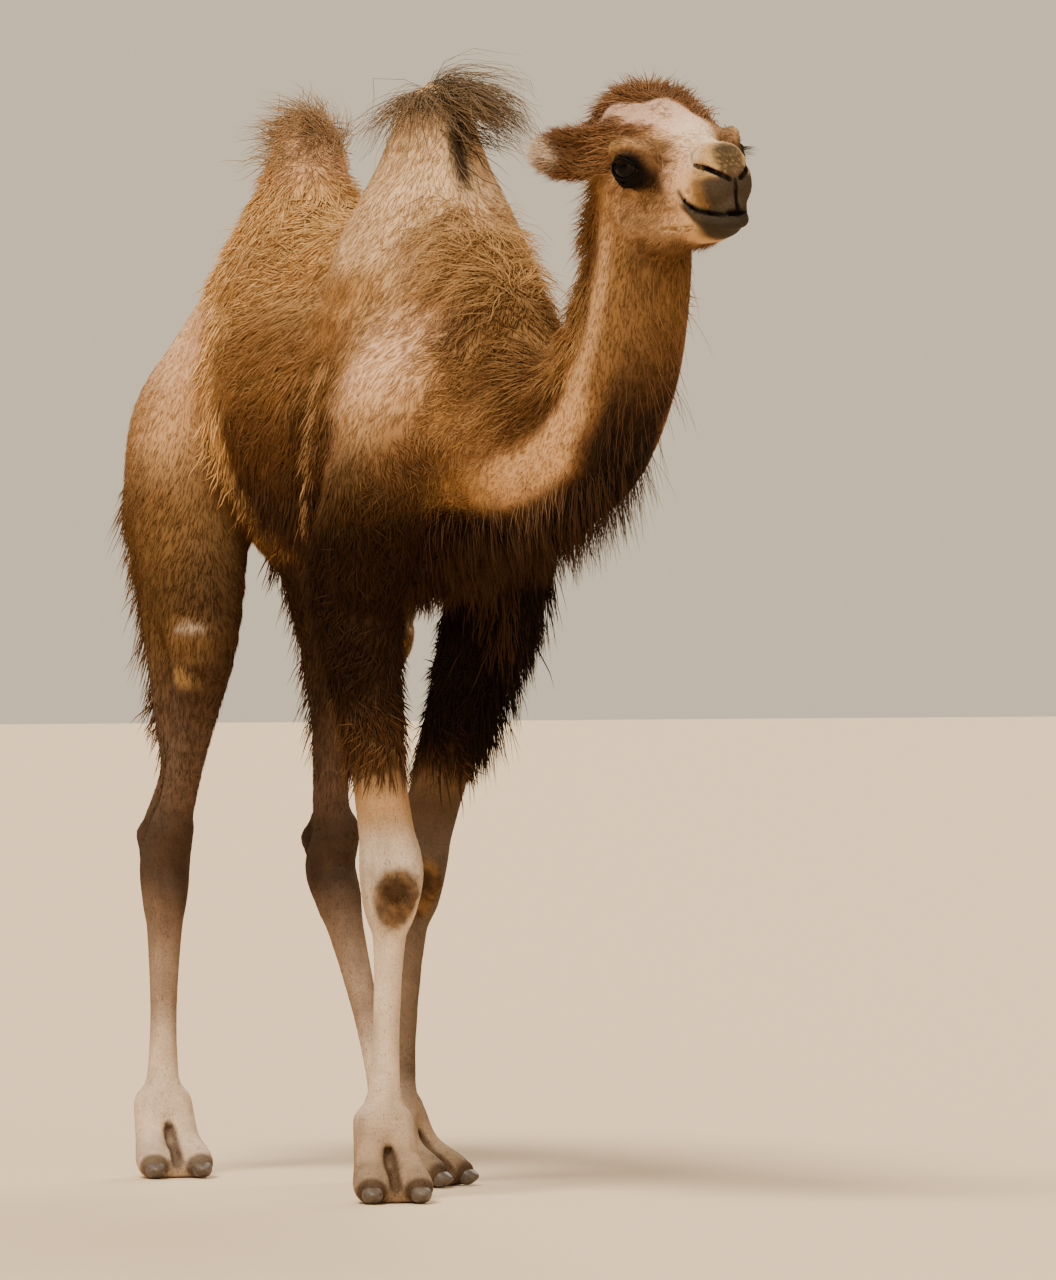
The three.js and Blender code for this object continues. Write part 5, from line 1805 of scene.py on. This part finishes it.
class CAMEL_OT_long(bpy.types.Operator):
    """Grow the long hair: under the neck, on the humps and at the wool's rim, and the fringes of the legs"""
    bl_idname = "camel.long_hair"
    bl_label = "Grow the long hair"

    def execute(self, context):
        settings = context.scene.camel_coat
        rng = np.random.default_rng(settings.seed + 2)
        skin = read_skin()
        own = coat_numbers(skin["at"])["colour"]
        for name, grown in LONG_HAIR.items():
            density, numbers, fixed = grown(skin["at"], skin["normals"])
            numbers["colour"] = mix(numbers["colour"], own, 0.25)
            roots, uv = rooted(skin, numbers, density * settings.amount, rng)
            dress(name, "long", {**roots, **fixed}, uv, coat_of(), rng)
        return {"FINISHED"}


FLOOR_REACH = 40                    # metres from the middle of the floor to each side
CAMERA_AT = (-6339, -13595, 900)    # in the camel's own millimetres
CAMERA_WAY = (0.4397, 0.8981, -0.0074)


def set_up(name, data, at, way):
    """A lamp or camera at a place in the frame, pointing along way."""
    piece = bpy.data.objects.new(name, data)
    piece.location = at
    piece.rotation_euler = Vector(way).to_track_quat("-Z", "Y").to_euler()
    bpy.context.scene.collection.objects.link(piece)
    return piece


class CAMEL_OT_stage(bpy.types.Operator):
    """Set the floor, the light and the camera"""
    bl_idname = "camel.stage"
    bl_label = "Set the stage"

    def execute(self, context):
        settings = context.scene.camel_stage
        sand = new_material("Floor", Roughness=0.8, Specular_IOR_Level=0.2, Base_Color=(*settings.floor, 1))[0]
        me = bpy.data.meshes.new("Floor")
        r = FLOOR_REACH
        me.from_pydata([(-r, -r, 0), (r, -r, 0), (r, r, 0), (-r, r, 0)], [], [(0, 1, 2, 3)])
        me.materials.append(sand)
        floor = bpy.data.objects.new("Floor", me)
        context.scene.collection.objects.link(floor)
        world = bpy.data.worlds.new("Studio")
        world.use_nodes = True
        tree = world.node_tree
        sky = tree.nodes["Background"]
        sky.inputs["Color"].default_value = (0.88, 0.73, 0.53, 1)
        way = node(tree, "ShaderNodeTexCoord")
        height = node(tree, "ShaderNodeSeparateXYZ", [("Vector", way.outputs["Generated"])])
        glow = node(tree, "ShaderNodeMapRange", [("Value", height.outputs["Z"]), ("From Min", 0.1),
                                                 ("From Max", 0.5), ("To Min", 0.95), ("To Max", 0.42)])
        tree.links.new(glow.outputs["Result"], sky.inputs["Strength"])
        context.scene.world = world
        for name, at, power, colour, soft in (
                ("Key", (-4.5, -3.5, 8.5), settings.key_power, (1.0, 0.93, 0.83), 20),
                ("Back", (4.5, 5.0, 5.6), settings.key_power * 0.4, (1.0, 0.93, 0.82), 25),
                ("Fill", (-1.5, -8.0, 2.6), settings.key_power * 0.2, (1.0, 0.95, 0.88), 50)):
            lamp = bpy.data.lights.new(name, "SUN")
            lamp.energy, lamp.color, lamp.angle = power, colour, math.radians(soft)
            set_up(name, lamp, at, -Vector(at))
        camera = bpy.data.cameras.new("Camera")
        camera.lens, camera.sensor_width, camera.sensor_fit = settings.lens, 36, "HORIZONTAL"
        camera.clip_end = 200
        context.scene.camera = set_up("Camera", camera, to_frame(CAMERA_AT).tolist(), CAMERA_WAY)
        return {"FINISHED"}


class CAMEL_PT_panel(bpy.types.Panel):
    """Buttons and settings for the camel"""
    bl_label = "Young camel"
    bl_space_type = "VIEW_3D"
    bl_region_type = "UI"
    bl_category = "Camel"

    def draw(self, context):
        scene, layout = context.scene, self.layout
        for group, names in (("camel_skin", ("voxel",)), ("camel_coat", ("amount", "seed")),
                             ("camel_stage", ("floor", "key_power", "lens"))):
            box = layout.box()
            for name in names:
                box.prop(getattr(scene, group), name)
        for operator in OPERATORS:
            layout.operator(operator.bl_idname)


OPERATORS = (CAMEL_OT_skin, CAMEL_OT_eyes, CAMEL_OT_nails, CAMEL_OT_wool, CAMEL_OT_short, CAMEL_OT_long,
             CAMEL_OT_stage)
SETTINGS = {"camel_skin": SkinSettings, "camel_coat": CoatSettings, "camel_stage": StageSettings}


def register():
    for cls in (*SETTINGS.values(), *OPERATORS, CAMEL_PT_panel):
        bpy.utils.register_class(cls)
    for name, cls in SETTINGS.items():
        setattr(bpy.types.Scene, name, bpy.props.PointerProperty(type=cls))


def unregister():
    for name in SETTINGS:
        delattr(bpy.types.Scene, name)
    for cls in (CAMEL_PT_panel, *reversed(OPERATORS), *SETTINGS.values()):
        bpy.utils.unregister_class(cls)


def main():
    register()
    bpy.ops.camel.skin()
    bpy.ops.camel.eyes()
    bpy.ops.camel.nails()
    bpy.ops.camel.wool()
    bpy.ops.camel.short_hair()
    bpy.ops.camel.long_hair()
    bpy.ops.camel.stage()


if __name__ == "__main__":
    main()
